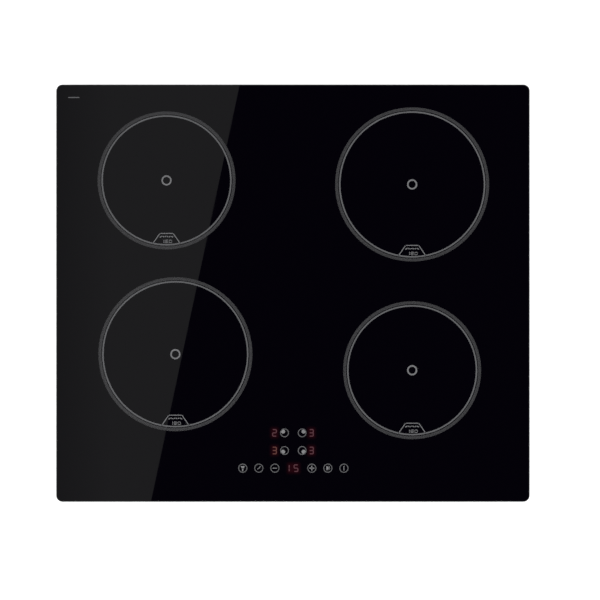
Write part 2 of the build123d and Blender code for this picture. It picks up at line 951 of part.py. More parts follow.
def fan_rotor():
    """An impeller with forward-curved blades that hang from its back plate."""
    top = fan_height - fan_wall - impeller_gap
    low = fan_wall + impeller_gap
    hub_bottom = top - fan_hub_depth
    inner = impeller_radius - impeller_depth
    middle = impeller_radius - impeller_depth / 2
    outer = impeller_radius - blade_inset
    cup = fan_hub_radius - fan_hub_wall
    rotor = tube(impeller_radius, cup, top - impeller_plate, top)
    rotor += tube(fan_hub_radius, cup, hub_bottom, top)
    rotor += disc(fan_hub_radius, hub_bottom - impeller_plate, hub_bottom)
    rotor += disc(fan_shaft_radius, hub_bottom - impeller_plate, top - fan_shaft_top)
    rotor += tube(impeller_radius, impeller_radius - impeller_rim, low, low + impeller_plate)
    tip = blade_lean + blade_angle
    outline = [
        ThreePointArc(polar(inner, 0), polar(middle, blade_sweep), polar(outer, blade_lean)),
        Line(polar(outer, blade_lean), polar(outer, tip)),
        ThreePointArc(
            polar(outer, tip), polar(middle, blade_sweep + blade_angle), polar(inner, blade_angle)
        ),
        Line(polar(inner, blade_angle), polar(inner, 0)),
    ]
    blade = Pos(0, 0, low + blade_inset) * extrude(make_face(outline), top - low - 2 * blade_inset)
    step = 360 / blade_count
    return rotor + [Rot(0, 0, turn * step) * blade for turn in range(blade_count)]


def at_fan(side, shape):
    return Pos(side * fan_x, fan_y, fan_bottom) * shape


# ---------------------------------------------------------------- power electronics
def power_boards():
    outer = wall_x - board_wall_gap
    front = front_y + board_front_edge
    right = block(board_inner_edge, outer, front, front + board_length, board_height, board_top)
    left = mirror(right, about=Plane.YZ)
    holes = []
    for x, y in board_posts():
        holes.append(disc(board_hole_radius, board_height - 1, board_top + 1, x, y))
    return group([right - holes, left - holes])


def heatsink_spans():
    """The ends of the heatsink in Y, behind the front of the board."""
    rear = front_y + board_front_edge + board_length - heatsink_inset
    return rear - heatsink_length, rear


def heatsink():
    """An extrusion with two side walls and a row of fins between them."""
    front, rear = heatsink_spans()
    half = heatsink_width / 2
    low = board_top + heatsink_lift
    high = deck_bottom - heatsink_top_gap
    sink = block(-half, half, front, rear, low, low + heatsink_wall)
    for side in (-1, 1):
        sink += block(side * half, side * (half - heatsink_wall), front, rear, low, high)
    pitch = (heatsink_width - 2 * heatsink_wall) / (heatsink_fin_count + 1)
    for fin in range(heatsink_fin_count):
        x = -half + heatsink_wall + (fin + 1) * pitch
        sink += block(x - heatsink_fin / 2, x + heatsink_fin / 2, front, rear, low, high)
    return sink


def heatsinks():
    return group([Pos(side * fan_x, 0, 0) * heatsink() for side in (-1, 1)])


def power_transistors():
    """Flat packages that stand against the heatsink's side walls, two for each coil."""
    front, rear = heatsink_spans()
    x0 = heatsink_width / 2 + stack_gap
    x1 = x0 + transistor_depth
    half = transistor_width / 2
    low = board_top + transistor_lift
    package = block(x0, x1, -half, half, low, low + transistor_height)
    package = fillet(package.edges().group_by(Axis.Z)[-1], transistor_round)
    lead = Box(transistor_lead_depth, transistor_lead_width, transistor_lead_top - component_gap)
    lead_z = board_top + (transistor_lead_top + component_gap) / 2
    for step in (-1, 0, 1):
        package += Pos((x0 + x1) / 2, step * transistor_lead_pitch, lead_z) * lead
    parts = []
    for side in (-1, 1):
        for step in range(transistor_count):
            y = front + (step + 0.5) * (rear - front) / transistor_count
            toward_wall = package if side > 0 else mirror(package, about=Plane.YZ)
            parts.append(Pos(side * fan_x, y, 0) * toward_wall)
    return group(parts)


def film_capacitors():
    """Box capacitors that lie beside the heatsinks."""
    front, _ = heatsink_spans()
    parts = []
    x = fan_x - heatsink_width / 2 - capacitor_heatsink_gap - capacitor_width
    low = board_top + component_gap
    high = deck_bottom - capacitor_top_gap
    for side in (-1, 1):
        for step in range(capacitor_count):
            y = front + step * capacitor_pitch
            case = block(0, capacitor_width, 0, capacitor_length, low, high)
            case = fillet(case.edges().group_by(Axis.Z)[-1], capacitor_round)
            place = x if side > 0 else -x - capacitor_width
            parts.append(Pos(place, y, 0) * case)
    return group(parts)


def filter_chokes():
    """Ring chokes that lie flat on the inner front corner of each board."""
    parts = []
    y = front_y + board_front_edge + choke_from_front
    z = board_top + choke_section + choke_lift
    for side in (-1, 1):
        for step in range(2):
            x = board_inner_edge + choke_from_edge + step * choke_pitch
            parts.append(Pos(side * x, y, z) * Torus(choke_radius, choke_section))
    return group(parts)


# ---------------------------------------------------------------- control unit
def control_board():
    board = block(
        -control_half_length, control_half_length, board_y0, board_y1, control_bottom, control_top
    )
    holes = []
    for side in (-1, 1):
        for y in (board_y0 + control_hole_inset, board_y1 - control_hole_inset):
            x = side * (control_half_length - control_hole_inset)
            holes.append(disc(board_hole_radius, control_bottom - 1, control_top + 1, x, y))
    return board - holes


def control_carrier():
    """A moulded tray under the control board, on legs that stand on the casing and the decks."""
    x = control_half_length + carrier_border
    y0 = board_y0 - carrier_border / 2
    y1 = board_y1 + carrier_border / 2
    low = control_bottom - carrier_depth
    wall = carrier_wall
    tray = block(-x, x, y0, y1, low, control_top)
    tray -= block(-x + wall, x - wall, y0 + wall, y1 - wall, low + wall, control_top + 1)
    slot_x = control_half_length - ribbon_width
    slot_y = board_y0 + ribbon_from_control_front - ribbon_slot_length / 2
    tray -= block(-slot_x, slot_x, slot_y, slot_y + ribbon_slot_length, low - 1, low + wall + 1)
    leg_x = control_half_length - control_hole_inset
    for side in (-1, 1):
        legs = ((board_y0 + control_hole_inset, sheet), (board_y1 - control_hole_inset, deck_top))
        for y, foot in legs:
            tray += disc(carrier_leg_radius, foot, control_bottom, side * leg_x, y)
            pin_top = control_top + carrier_pin_height
            tray += disc(carrier_pin_radius, control_bottom - 1, pin_top, side * leg_x, y)
    return tray


def display_modules():
    """Light-bar displays: one for each zone and a double one for the timer."""
    top = glass_bottom - display_gap
    half_width = display_width / 2
    half_depth = display_depth / 2
    parts = []
    for from_front in zone_key_rows:
        for side in (-1, 1):
            module = block(-half_width, half_width, -half_depth, half_depth, control_top, top)
            parts.append(Pos(side * digit_offset, front_y + from_front, 0) * module)
    double = block(-display_width, display_width, -half_depth, half_depth, control_top, top)
    parts.append(Pos(0, front_y + function_key_row, 0) * double)
    return group(parts)


def key_places():
    places = [(s * zone_key_offset, front_y + row) for s in (-1, 1) for row in zone_key_rows]
    for offset in function_key_offsets:
        places.append((offset, front_y + function_key_row))
        places.append((-offset, front_y + function_key_row))
    return places


def touch_springs():
    one = spring(
        touch_spring_radius, touch_spring_wire, touch_spring_turns, control_top, glass_bottom
    )
    return group([Pos(x, y, 0) * one for x, y in key_places()])


def ribbon_cables():
    """Two flat ribbons from the control board, under the decks' front edge, to the power boards."""
    y0 = board_y0 + ribbon_from_control_front
    y1 = front_y + board_front_edge + ribbon_board_inset
    run_z = deck_bottom - ribbon_deck_gap - ribbon_thickness / 2
    route = FilletPolyline(
        (0, y0, control_bottom - ribbon_end_gap),
        (0, y0, run_z),
        (0, y1, run_z),
        (0, y1, board_top + ribbon_end_gap),
        radius=ribbon_bend,
    )
    section = Plane(origin=route @ 0, x_dir=(1, 0, 0), z_dir=route % 0)
    ribbon = sweep(section * Rectangle(ribbon_width, ribbon_thickness), path=route)
    x = board_inner_edge + ribbon_width / 2 + ribbon_edge_gap
    return group([Pos(side * x, 0, 0) * ribbon for side in (-1, 1)])


# ---------------------------------------------------------------- mains terminal compartment
def terminal_box():
    """A moulded compartment that opens downwards, with a round cable inlet to the rear."""
    half = terminal_length / 2
    wall = terminal_wall
    roof = terminal_top - wall
    box = block(-half, half, terminal_front, terminal_rear, sheet, terminal_top)
    box -= block(
        -half + wall, half - wall, terminal_front + wall, terminal_rear - wall, 0, roof
    )
    reach = wall_y + inlet_reach
    start = terminal_rear - wall
    middle = Pos(0, (start + reach) / 2, inlet_height) * Rot(90, 0, 0)
    box += middle * Cylinder(inlet_radius + inlet_wall, reach - start)
    box -= middle * Cylinder(inlet_radius, reach - start + 2)
    pin_holes = Pos(0, hinge_y, hinge_z) * Rot(0, 90, 0)
    return box - pin_holes * Cylinder(hinge_pin_radius + shaft_fit, terminal_length + 2)


def terminal_block():
    """A row of five screw terminals under the compartment's roof."""
    top = terminal_top - terminal_wall - stack_gap
    half = pole_count * pole_pitch / 2
    y = terminal_front + terminal_wall + block_inset
    low = top - block_height
    body = block(-half, half, y - block_depth / 2, y + block_depth / 2, low, top)
    wire_hole = Rot(90, 0, 0) * Cylinder(pole_wire_radius, pole_wire_length)
    for pole in range(pole_count):
        x = (pole - (pole_count - 1) / 2) * pole_pitch
        body -= disc(pole_radius, low - 1, low + pole_well_depth, x, y - pole_offset)
        body -= Pos(x, y + pole_offset, top - pole_wire_depth) * wire_hole
    return body


def terminal_cover():
    """A flap that closes the compartment from below, on two stub pins."""
    half = terminal_length / 2 - terminal_wall - cover_gap
    rear = terminal_rear - terminal_wall - cover_gap
    low = cover_recess
    flap = block(-half, half, hinge_y, rear, low, low + cover_thickness)
    barrel = Pos(0, hinge_y, hinge_z) * Rot(0, 90, 0)
    flap += barrel * Cylinder(hinge_barrel_radius, 2 * half)
    flap += barrel * Cylinder(hinge_pin_radius, terminal_length - terminal_wall)
    inside = low + cover_thickness
    catch = Box(cover_catch_width, cover_catch_depth, cover_catch_height)
    catch_y = rear - cover_catch_inset - cover_catch_depth / 2
    for side in (-1, 1):
        flap += Pos(side * cover_catch_offset, catch_y, low + cover_catch_height / 2) * catch
    rib = block(
        -cover_rib_width / 2,
        cover_rib_width / 2,
        hinge_y + cover_rib_inset,
        rear - cover_rib_inset,
        inside,
        inside + cover_rib_height,
    )
    for step in range(cover_rib_count):
        flap += Pos((step - (cover_rib_count - 1) / 2) * cover_rib_pitch, 0, 0) * rib
    return flap


# ---------------------------------------------------------------- files
def main():
    os.makedirs("parts", exist_ok=True)
    write("glass_panel", glass_panel())
    write("ceramic_print", ceramic_print())
    write("sealing_strip", sealing_strip())
    write("adhesive_bead", adhesive_bead())
    write("support_frame", support_frame())
    write("bottom_casing", bottom_casing())
    write("casing_screws", casing_screws())
    write("clamp_brackets", group([at_clamp(a, m, clamp_bracket()) for _, a, m in clamp_places()]))
    for name, angle, middle in clamp_places():
        write(f"clamp_screw_{name}", at_clamp(angle, middle, clamp_screw()))
        write(f"clamp_arm_{name}", at_clamp(angle, middle, clamp_arm()))
    for zone in zones:
        write(f"coil_plate_{zone.name}", zone.place(coil_plate(zone)))
        write(f"ferrite_bars_{zone.name}", zone.place(ferrite_bars(zone)))
        write(f"coil_former_{zone.name}", zone.place(coil_former(zone)))
        write(f"coil_winding_{zone.name}", zone.place(coil_winding(zone)))
        write(f"mica_sheet_{zone.name}", zone.place(mica_sheet(zone)))
        write(f"thermistor_{zone.name}", zone.place(thermistor()))
    write("coil_springs", coil_springs())
    rotor = fan_rotor()
    housing = fan_housing()
    for name, side in (("left", -1), ("right", 1)):
        write(f"coil_deck_{name}", coil_deck(side))
        write(f"fan_housing_{name}", at_fan(side, housing))
        write(f"fan_rotor_{name}", at_fan(side, rotor))
    write("power_boards", power_boards())
    write("heatsinks", heatsinks())
    write("power_transistors", power_transistors())
    write("film_capacitors", film_capacitors())
    write("filter_chokes", filter_chokes())
    write("control_board", control_board())
    write("control_carrier", control_carrier())
    write("display_modules", display_modules())
    write("touch_springs", touch_springs())
    write("ribbon_cables", ribbon_cables())
    write("terminal_box", terminal_box())
    write("terminal_block", terminal_block())
    write("terminal_cover", terminal_cover())


main()
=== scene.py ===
import json
import math
from collections import namedtuple
import bmesh
import bpy
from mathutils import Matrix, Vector


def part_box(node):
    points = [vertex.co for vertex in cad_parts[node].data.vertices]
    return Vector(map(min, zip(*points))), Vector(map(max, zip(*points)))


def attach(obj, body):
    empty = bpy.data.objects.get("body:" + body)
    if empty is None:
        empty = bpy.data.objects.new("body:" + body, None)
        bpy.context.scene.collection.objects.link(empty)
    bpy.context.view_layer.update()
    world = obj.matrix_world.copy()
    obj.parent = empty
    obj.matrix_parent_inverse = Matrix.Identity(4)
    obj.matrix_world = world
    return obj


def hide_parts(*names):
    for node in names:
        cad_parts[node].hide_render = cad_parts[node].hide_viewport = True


# The looks of a built-in induction hob, in metres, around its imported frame.
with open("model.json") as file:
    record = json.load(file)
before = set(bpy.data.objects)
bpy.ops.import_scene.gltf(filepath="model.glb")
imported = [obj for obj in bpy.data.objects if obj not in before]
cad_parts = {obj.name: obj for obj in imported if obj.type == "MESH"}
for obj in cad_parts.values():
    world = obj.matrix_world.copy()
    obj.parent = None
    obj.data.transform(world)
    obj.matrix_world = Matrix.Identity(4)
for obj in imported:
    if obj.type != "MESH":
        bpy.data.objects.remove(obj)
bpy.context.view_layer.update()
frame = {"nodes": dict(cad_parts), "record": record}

ZONES = ("rear_left", "rear_right", "front_left", "front_right")
MM = 0.001

# ---------------------------------------------------------------- printed and lit marks, sizes
ZONE_RADIUS = {"rear_left": 0.080, "rear_right": 0.090, "front_left": 0.090, "front_right": 0.080}
INK = 0.08 * MM
LINE = 1.85 * MM
LINE_SHIFT = 0.2 * MM
BAND_GAP = 1.15 * MM
BAND_WIDTH = 3.1 * MM
BAND_EDGE = 0.45 * MM
HATCH_PITCH = 1.15 * MM
HATCH_WIDTH = 0.55 * MM
CENTRE_RADIUS = 5.4 * MM
CENTRE_LINE = 1.9 * MM
LABEL_RISE = 14.0 * MM
LABEL_TOP = 8.2 * MM
LABEL_FOOT = 16.8 * MM
LABEL_LINE = 1.0 * MM
ZONE_KEY_RADIUS = 4.9 * MM
KEY_RADIUS = 5.1 * MM
KEY_LINE = 1.0 * MM
KEY_DOT = 2.5 * MM
KEY_SHIFT = 0.5 * MM
KEY_ROWS = (86.0 * MM, 64.0 * MM)
FUNCTION_ROW = 42.0 * MM
ZONE_KEY_X = 11.0 * MM
DIGIT_X = 23.0 * MM
FUNCTION_X = (23.0 * MM, 43.0 * MM, 63.0 * MM)
DIGIT_HEIGHT = 8.2 * MM
DIGIT_WIDTH = 4.7 * MM
DIGIT_LINE = 1.25 * MM
TIMER_X = (-7.0 * MM, 3.8 * MM)
AMBER_LEVEL = (-1, 1)
LEVELS = {(-1, 0): "2", (1, 0): "3", (-1, 1): "3", (1, 1): "3"}
TIMER = "15"
GLOW_REACH = 6.0 * MM
GLOW_DEPTH = 0.3 * MM
HATCH_LEAN = 1.1
ZONE_STEPS = 180
KEY_STEPS = 48
WAVE_STEPS = 6
WAVE_PITCH = 2.7 * MM
WAVE_RISE = 0.7 * MM
WAVE_DROP = 4.0 * MM
WAVE_LINE = 1.15 * MM
SIZE_PITCH = 4.9 * MM
SIZE_SIDE = 3.2 * MM
SIZE_DROP = 11.6 * MM
SIZE_LINE = 0.8 * MM
DASH_ENDS = (-279.5 * MM, -266.6 * MM)
DASH_DROP = 16.2 * MM
DASH_LINE = 1.3 * MM

glass_low, glass_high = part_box("glass_panel")
GLASS_TOP = glass_high.z
FRONT = glass_low.y


# ---------------------------------------------------------------- node materials
class Look:
    """A node material that is built up around one Principled shader."""

    def __init__(self, name, color, roughness, metallic=0.0, ior=1.5):
        self.material = bpy.data.materials.new(name)
        self.material.use_nodes = True
        self.tree = self.material.node_tree
        self.tree.nodes.clear()
        output = self.add("ShaderNodeOutputMaterial")
        self.shader = self.add("ShaderNodeBsdfPrincipled")
        self.tree.links.new(self.shader.outputs[0], output.inputs[0])
        self.set("Base Color", (*color, 1.0))
        self.set("Roughness", roughness)
        self.set("Metallic", metallic)
        self.set("IOR", ior)
        self.place = self.add("ShaderNodeTexCoord").outputs["Object"]

    def add(self, kind, **settings):
        """A new node of a kind."""
        node = self.tree.nodes.new(kind)
        for key, value in settings.items():
            setattr(node, key, value)
        return node

    def set(self, socket, value):
        """A plain value sits on the shader's socket, and a pattern is linked to it."""
        if isinstance(value, bpy.types.NodeSocket):
            self.tree.links.new(value, self.shader.inputs[socket])
        else:
            self.shader.inputs[socket].default_value = value
        return self

    def feed(self, node, inputs):
        """Links or sets a node's inputs."""
        for key, value in inputs.items():
            if isinstance(value, bpy.types.NodeSocket):
                self.tree.links.new(value, node.inputs[key])
            else:
                node.inputs[key].default_value = value
        return node

    def stretched(self, scale, shift=(0, 0, 0)):
        """The object's own coordinates, scaled along each axis, to draw a grain."""
        node = self.add("ShaderNodeMapping")
        return self.feed(node, {"Vector": self.place, "Location": shift, "Scale": scale}).outputs[0]

    def noise(self, scale, detail=3.0, roughness=0.55, distortion=0.0, vector=None):
        """A cloudy pattern."""
        node = self.add("ShaderNodeTexNoise")
        self.feed(node, {"Vector": vector or self.place, "Scale": scale, "Detail": detail})
        self.feed(node, {"Roughness": roughness, "Distortion": distortion})
        return node.outputs["Fac"]

    def cells(self, scale, output="Distance", vector=None):
        """A pattern of cells."""
        node = self.add("ShaderNodeTexVoronoi")
        self.feed(node, {"Vector": vector or self.place, "Scale": scale})
        return node.outputs[output]

    def waves(self, scale, distortion=0.0):
        """Bands across X."""
        node = self.add("ShaderNodeTexWave")
        self.feed(node, {"Vector": self.place, "Scale": scale})
        self.feed(node, {"Distortion": distortion, "Detail": 2.0, "Detail Scale": 2.0})
        return node.outputs["Fac"]

    def math(self, kind, *values):
        """A sum or another function of patterns and numbers."""
        node = self.add("ShaderNodeMath", operation=kind)
        return self.feed(node, dict(enumerate(values))).outputs[0]

    def remap(self, value, low, high, start=0.0, end=1.0):
        """A pattern from start to end becomes a value from low to high."""
        node = self.add("ShaderNodeMapRange")
        self.feed(node, {0: value, 1: start, 2: end, 3: low, 4: high})
        return node.outputs[0]

    def ramp(self, value, *stops):
        """Colours along a pattern: each stop is a place from 0 to 1 and a colour."""
        node = self.add("ShaderNodeValToRGB")
        ramp = node.color_ramp
        while len(ramp.elements) < len(stops):
            ramp.elements.new(0.5)
        for element, (position, color) in zip(ramp.elements, stops):
            element.position = position
            element.color = (*color, 1.0)
        self.tree.links.new(value, node.inputs[0])
        return node.outputs[0]

    def bump(self, height, depth, strength=1.0):
        """Raises the surface by a pattern, with its depth in metres."""
        node = self.add("ShaderNodeBump")
        self.feed(node, {"Height": height, "Distance": depth, "Strength": strength})
        return self.set("Normal", node.outputs[0])


def shade(color, amount):
    """A colour made darker or brighter."""
    return tuple(channel * amount for channel in color)


def display_windows():
    """Centre and half sizes of each lit display, round which a red glow is painted on the glass."""
    windows = []
    for row in KEY_ROWS:
        for side in (-1, 1):
            windows.append((side * DIGIT_X, FRONT + row, DIGIT_WIDTH / 2, DIGIT_HEIGHT / 2))
    left = TIMER_X[0] + DIGIT_WIDTH / 2
    right = TIMER_X[1] + DIGIT_WIDTH / 2
    windows.append(((left + right) / 2, FRONT + FUNCTION_ROW, (right - left) / 2, DIGIT_HEIGHT / 2))
    return windows


def glass_look():
    """Black glass-ceramic: deep gloss, faint wipe marks, and a red glow painted on the glass over each
    display.
    """
    look = Look("black_glass", (0.0006, 0.0004, 0.0012), 0.03, ior=1.52)
    wipes = look.noise(9.0, detail=5.0, distortion=1.2, vector=look.stretched((1.0, 2.6, 1.0)))
    dust = look.cells(900.0)
    specks = look.remap(dust, 1.0, 0.0, 0.03, 0.07)
    clean = (0.0006, 0.0004, 0.0012)
    look.set("Roughness", look.math("ADD", look.remap(wipes, 0.0, 0.014, 0.35, 0.75), 0.004))
    look.set("Base Color", look.ramp(specks, (0.0, clean), (1.0, (0.004, 0.004, 0.005))))
    split = look.add("ShaderNodeSeparateXYZ")
    look.tree.links.new(look.place, split.inputs[0])
    # Painted light: the glass top emits a red glow that fades out within GLOW_REACH of each display window,
    # in place of display light scattered in the glass.
    glow = None
    for x, y, half_x, half_y in display_windows():
        squares = []
        for across, middle, half in ((split.outputs[0], x, half_x), (split.outputs[1], y, half_y)):
            off = look.math("ABSOLUTE", look.math("SUBTRACT", across, middle))
            off = look.math("MAXIMUM", look.math("SUBTRACT", off, half), 0.0)
            squares.append(look.math("POWER", off, 2.0))
        away = look.math("SQRT", look.math("ADD", *squares))
        near = look.remap(away, 1.0, 0.0, 0.0, GLOW_REACH)
        near = look.math("POWER", near, 2.0)
        glow = near if glow is None else look.math("MAXIMUM", glow, near)
    upper = look.math("GREATER_THAN", split.outputs[2], GLASS_TOP - GLOW_DEPTH)
    look.set("Emission Color", (0.0150, 0.0014, 0.0020, 1.0))
    look.set("Emission Strength", look.math("MULTIPLY", glow, upper))
    look.bump(look.noise(35.0, detail=2.0), 0.002 * MM, 0.15)
    return look.material


def ink_look(name, color):
    """Fired enamel: matt, slightly grainy, a little uneven in tone."""
    look = Look(name, color, 0.55)
    grain = look.noise(2600.0, detail=2.0)
    cloud = look.noise(60.0, detail=3.0)
    tone = look.math("ADD", look.math("MULTIPLY", grain, 0.6), look.math("MULTIPLY", cloud, 0.4))
    look.set("Base Color", look.ramp(tone, (0.3, shade(color, 0.82)), (0.7, shade(color, 1.15))))
    look.set("Roughness", look.remap(grain, 0.45, 0.65))
    look.bump(grain, 0.01 * MM, 0.4)
    return look.material


def lit_look(name, color):
    """Light bars behind the glass, a little uneven along their length."""
    look = Look(name, (0.02, 0.004, 0.005), 0.25)
    flicker = look.noise(700.0, detail=2.0)
    look.set("Emission Color", look.ramp(flicker, (0.3, shade(color, 0.9)), (0.7, shade(color, 1.1))))
    look.set("Emission Strength", 1.0)
    return look.material


def sheet_look():
    """Galvanised sheet: flat crystals of zinc that differ in tone and gloss."""
    look = Look("galvanised_sheet", (0.42, 0.43, 0.45), 0.4, metallic=1.0)
    warp = look.noise(14.0, detail=5.0, distortion=0.4)
    crystal = look.cells(340.0, output="Color")
    split = look.add("ShaderNodeSeparateColor")
    look.tree.links.new(crystal, split.inputs[0])
    rolled = look.noise(300.0, detail=4.0, vector=look.stretched((0.15, 2.0, 2.0)))
    tone = look.math("ADD", look.math("MULTIPLY", split.outputs[0], 0.45), look.math("MULTIPLY", warp, 0.55))
    look.set("Base Color", look.ramp(tone, (0.15, (0.27, 0.28, 0.292)), (0.85, (0.36, 0.37, 0.382))))
    gloss = look.math("ADD", look.remap(split.outputs[1], 0.0, 0.05), look.remap(rolled, 0.33, 0.44))
    look.set("Roughness", gloss)
    look.bump(rolled, 0.012 * MM, 0.3)
    return look.material


def plated_look():
    """Bright zinc plating with a warm cast and fine scuffs."""
    look = Look("zinc_plating", (0.62, 0.61, 0.58), 0.32, metallic=1.0)
    cloud = look.noise(180.0, detail=3.0)
    scuffs = look.noise(500.0, detail=4.0, vector=look.stretched((1.0, 6.0, 1.0)))
    look.set("Base Color", look.ramp(cloud, (0.3, (0.55, 0.54, 0.50)), (0.7, (0.68, 0.67, 0.63))))
    look.set("Roughness", look.remap(scuffs, 0.22, 0.42, 0.3, 0.7))
    look.bump(scuffs, 0.015 * MM, 0.4)
    return look.material


def spring_look():
    """Hard-drawn steel wire."""
    look = Look("spring_wire", (0.42, 0.42, 0.43), 0.3, metallic=1.0)
    drawn = look.noise(1500.0, detail=2.0)
    look.set("Base Color", look.ramp(drawn, (0.3, (0.35, 0.35, 0.36)), (0.7, (0.5, 0.5, 0.51))))
    look.set("Roughness", look.remap(drawn, 0.24, 0.38))
    return look.material


def aluminium_look(name, stretch, color):
    """Rolled or extruded aluminium: a fine grain along one way."""
    look = Look(name, color, 0.38, metallic=1.0)
    grain = look.noise(260.0, detail=5.0, vector=look.stretched(stretch))
    blotch = look.noise(22.0, detail=3.0)
    look.set("Base Color", look.ramp(blotch, (0.3, shade(color, 0.9)), (0.7, shade(color, 1.05))))
    look.set("Roughness", look.remap(grain, 0.28, 0.5, 0.3, 0.7))
    look.bump(grain, 0.02 * MM, 0.4)
    return look.material


def moulded_look(name, color, roughness, grain_scale=1400.0, depth=0.03 * MM):
    """Moulded plastic with a spark-eroded grain and a slight flow of tone."""
    look = Look(name, color, roughness)
    grain = look.noise(grain_scale, detail=2.0)
    flow = look.noise(18.0, detail=2.0, distortion=0.8)
    look.set("Base Color", look.ramp(flow, (0.3, shade(color, 0.88)), (0.7, shade(color, 1.1))))
    look.set("Roughness", look.remap(grain, roughness - 0.08, roughness + 0.1))
    look.bump(grain, depth, 0.5)
    return look.material


def foam_look():
    """Closed-cell foam: small dimples all over, with painted shade in their hollows."""
    look = Look("seal_foam", (0.022, 0.022, 0.024), 0.85)
    dimples = look.cells(1300.0)
    # Painted shade: the colour is darkest at each cell's middle, where the bump makes the dimple's hollow.
    look.set("Base Color", look.ramp(dimples, (0.0, (0.014, 0.014, 0.015)), (0.8, (0.036, 0.036, 0.038))))
    look.set("Roughness", look.remap(dimples, 0.92, 0.78))
    look.bump(dimples, 0.15 * MM, 0.7)
    return look.material


def silicone_look():
    """A hand-laid bead that swells and narrows a little."""
    look = Look("silicone", (0.012, 0.012, 0.013), 0.35)
    swell = look.noise(220.0, detail=2.0)
    look.set("Base Color", look.ramp(swell, (0.3, (0.009, 0.009, 0.010)), (0.7, (0.018, 0.018, 0.019))))
    look.set("Roughness", look.remap(swell, 0.28, 0.45))
    look.bump(swell, 0.1 * MM, 0.5)
    return look.material


def board_look():
    """A circuit board: green mask with paler tracks and tinned pads."""
    look = Look("circuit_board", (0.02, 0.12, 0.05), 0.3)
    blocks = look.cells(240.0, output="Color")
    split = look.add("ShaderNodeSeparateColor")
    look.tree.links.new(blocks, split.inputs[0])
    tracks = look.waves(150.0, distortion=3.0)
    mask = look.ramp(tracks, (0.42, (0.010, 0.070, 0.028)), (0.55, (0.028, 0.150, 0.062)))
    pads = look.remap(look.cells(320.0), 1.0, 0.0, 0.10, 0.16)
    mix = look.add("ShaderNodeMix", data_type="RGBA")
    look.feed(mix, {0: pads, 7: (0.58, 0.55, 0.48, 1.0)})
    look.tree.links.new(mask, mix.inputs[6])
    look.set("Base Color", mix.outputs[2])
    look.set("Roughness", look.remap(split.outputs[0], 0.22, 0.38))
    look.set("Metallic", look.math("MULTIPLY", pads, 0.9))
    look.bump(tracks, 0.03 * MM, 0.6)
    return look.material


def ferrite_look():
    """Pressed ferrite: matt, dark and slightly pitted."""
    look = Look("ferrite", (0.05, 0.05, 0.053), 0.6)
    grain = look.noise(1600.0, detail=4.0)
    pits = look.remap(look.cells(420.0), 0.0, 1.0, 0.05, 0.25)
    look.set("Base Color", look.ramp(grain, (0.3, (0.035, 0.035, 0.038)), (0.7, (0.075, 0.075, 0.08))))
    look.set("Roughness", look.remap(grain, 0.5, 0.75))
    look.bump(pits, 0.05 * MM, 0.6)
    return look.material


def litz_look(zone):
    """Litz wire in a spiral: strands that twist round each turn of the winding, with painted shade in the
    grooves between them and a painted highlight along their crests.
    """
    look = Look(f"litz_{zone}", (0.70, 0.30, 0.13), 0.35, metallic=0.85)
    low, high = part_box(f"mica_sheet_{zone}")
    centre = (low + high) / 2
    split = look.add("ShaderNodeSeparateXYZ")
    shifted = look.stretched((1, 1, 1), shift=(-centre.x, -centre.y, 0))
    look.tree.links.new(shifted, split.inputs[0])
    x, y = split.outputs[:2]
    square = look.math("ADD", look.math("MULTIPLY", x, x), look.math("MULTIPLY", y, y))
    radius = look.math("SQRT", square)
    angle = look.math("ARCTAN2", y, x)
    along = look.math("MULTIPLY", angle, 190.0)
    across = look.math("MULTIPLY", radius, 5200.0)
    strands = look.math("SINE", look.math("ADD", along, across))
    strands = look.remap(strands, 0.0, 1.0, -1.0, 1.0)
    tint = look.noise(700.0, detail=2.0)
    # Painted shade and highlight: the colour is dark in the grooves between strands and lighter along their
    # crests; the tint noise adds random tone.
    tone = look.math("ADD", look.math("MULTIPLY", strands, 0.7), look.math("MULTIPLY", tint, 0.3))
    stops = ((0.15, (0.30, 0.10, 0.04)), (0.6, (0.68, 0.29, 0.12)), (0.95, (0.85, 0.45, 0.22)))
    look.set("Base Color", look.ramp(tone, *stops))
    look.set("Roughness", look.remap(tint, 0.28, 0.45))
    look.bump(strands, 0.12 * MM, 0.8)
    return look.material


def choke_look():
    """Enamelled wire wound tightly round a ring core, with painted shade in the gaps between the turns."""
    look = Look("choke_winding", (0.55, 0.22, 0.08), 0.3, metallic=0.7)
    turns = look.waves(420.0, distortion=0.6)
    # Painted shade: the colour goes dark in the gaps between the turns, following the same bands as the
    # bump.
    look.set("Base Color", look.ramp(turns, (0.1, (0.16, 0.05, 0.02)), (0.6, (0.60, 0.25, 0.09))))
    look.set("Roughness", look.remap(turns, 0.42, 0.25))
    look.bump(turns, 0.3 * MM, 0.7)
    return look.material


def mica_look():
    """Pressed mica: overlapping flakes with a soft sheen."""
    look = Look("mica", (0.62, 0.55, 0.40), 0.45)
    flakes = look.cells(420.0, output="Color", vector=look.stretched((1.0, 1.3, 1.0)))
    split = look.add("ShaderNodeSeparateColor")
    look.tree.links.new(flakes, split.inputs[0])
    look.set("Base Color", look.ramp(split.outputs[0], (0.1, (0.54, 0.48, 0.35)), (0.9, (0.66, 0.60, 0.46))))
    look.set("Roughness", look.remap(split.outputs[1], 0.3, 0.6))
    look.set("Coat Weight", 0.3)
    look.bump(split.outputs[2], 0.03 * MM, 0.5)
    return look.material


def ribbon_look():
    """Flat ribbon: parallel insulated wires."""
    look = Look("ribbon", (0.42, 0.42, 0.43), 0.5)
    wires = look.waves(125.0)
    # Painted shade: the grey is darker in the grooves between the wires, following the same bands as the
    # bump.
    look.set("Base Color", look.ramp(wires, (0.05, (0.24, 0.24, 0.25)), (0.4, (0.46, 0.46, 0.47))))
    look.set("Roughness", look.remap(wires, 0.55, 0.4))
    look.bump(wires, 0.3 * MM, 0.8)
    return look.material


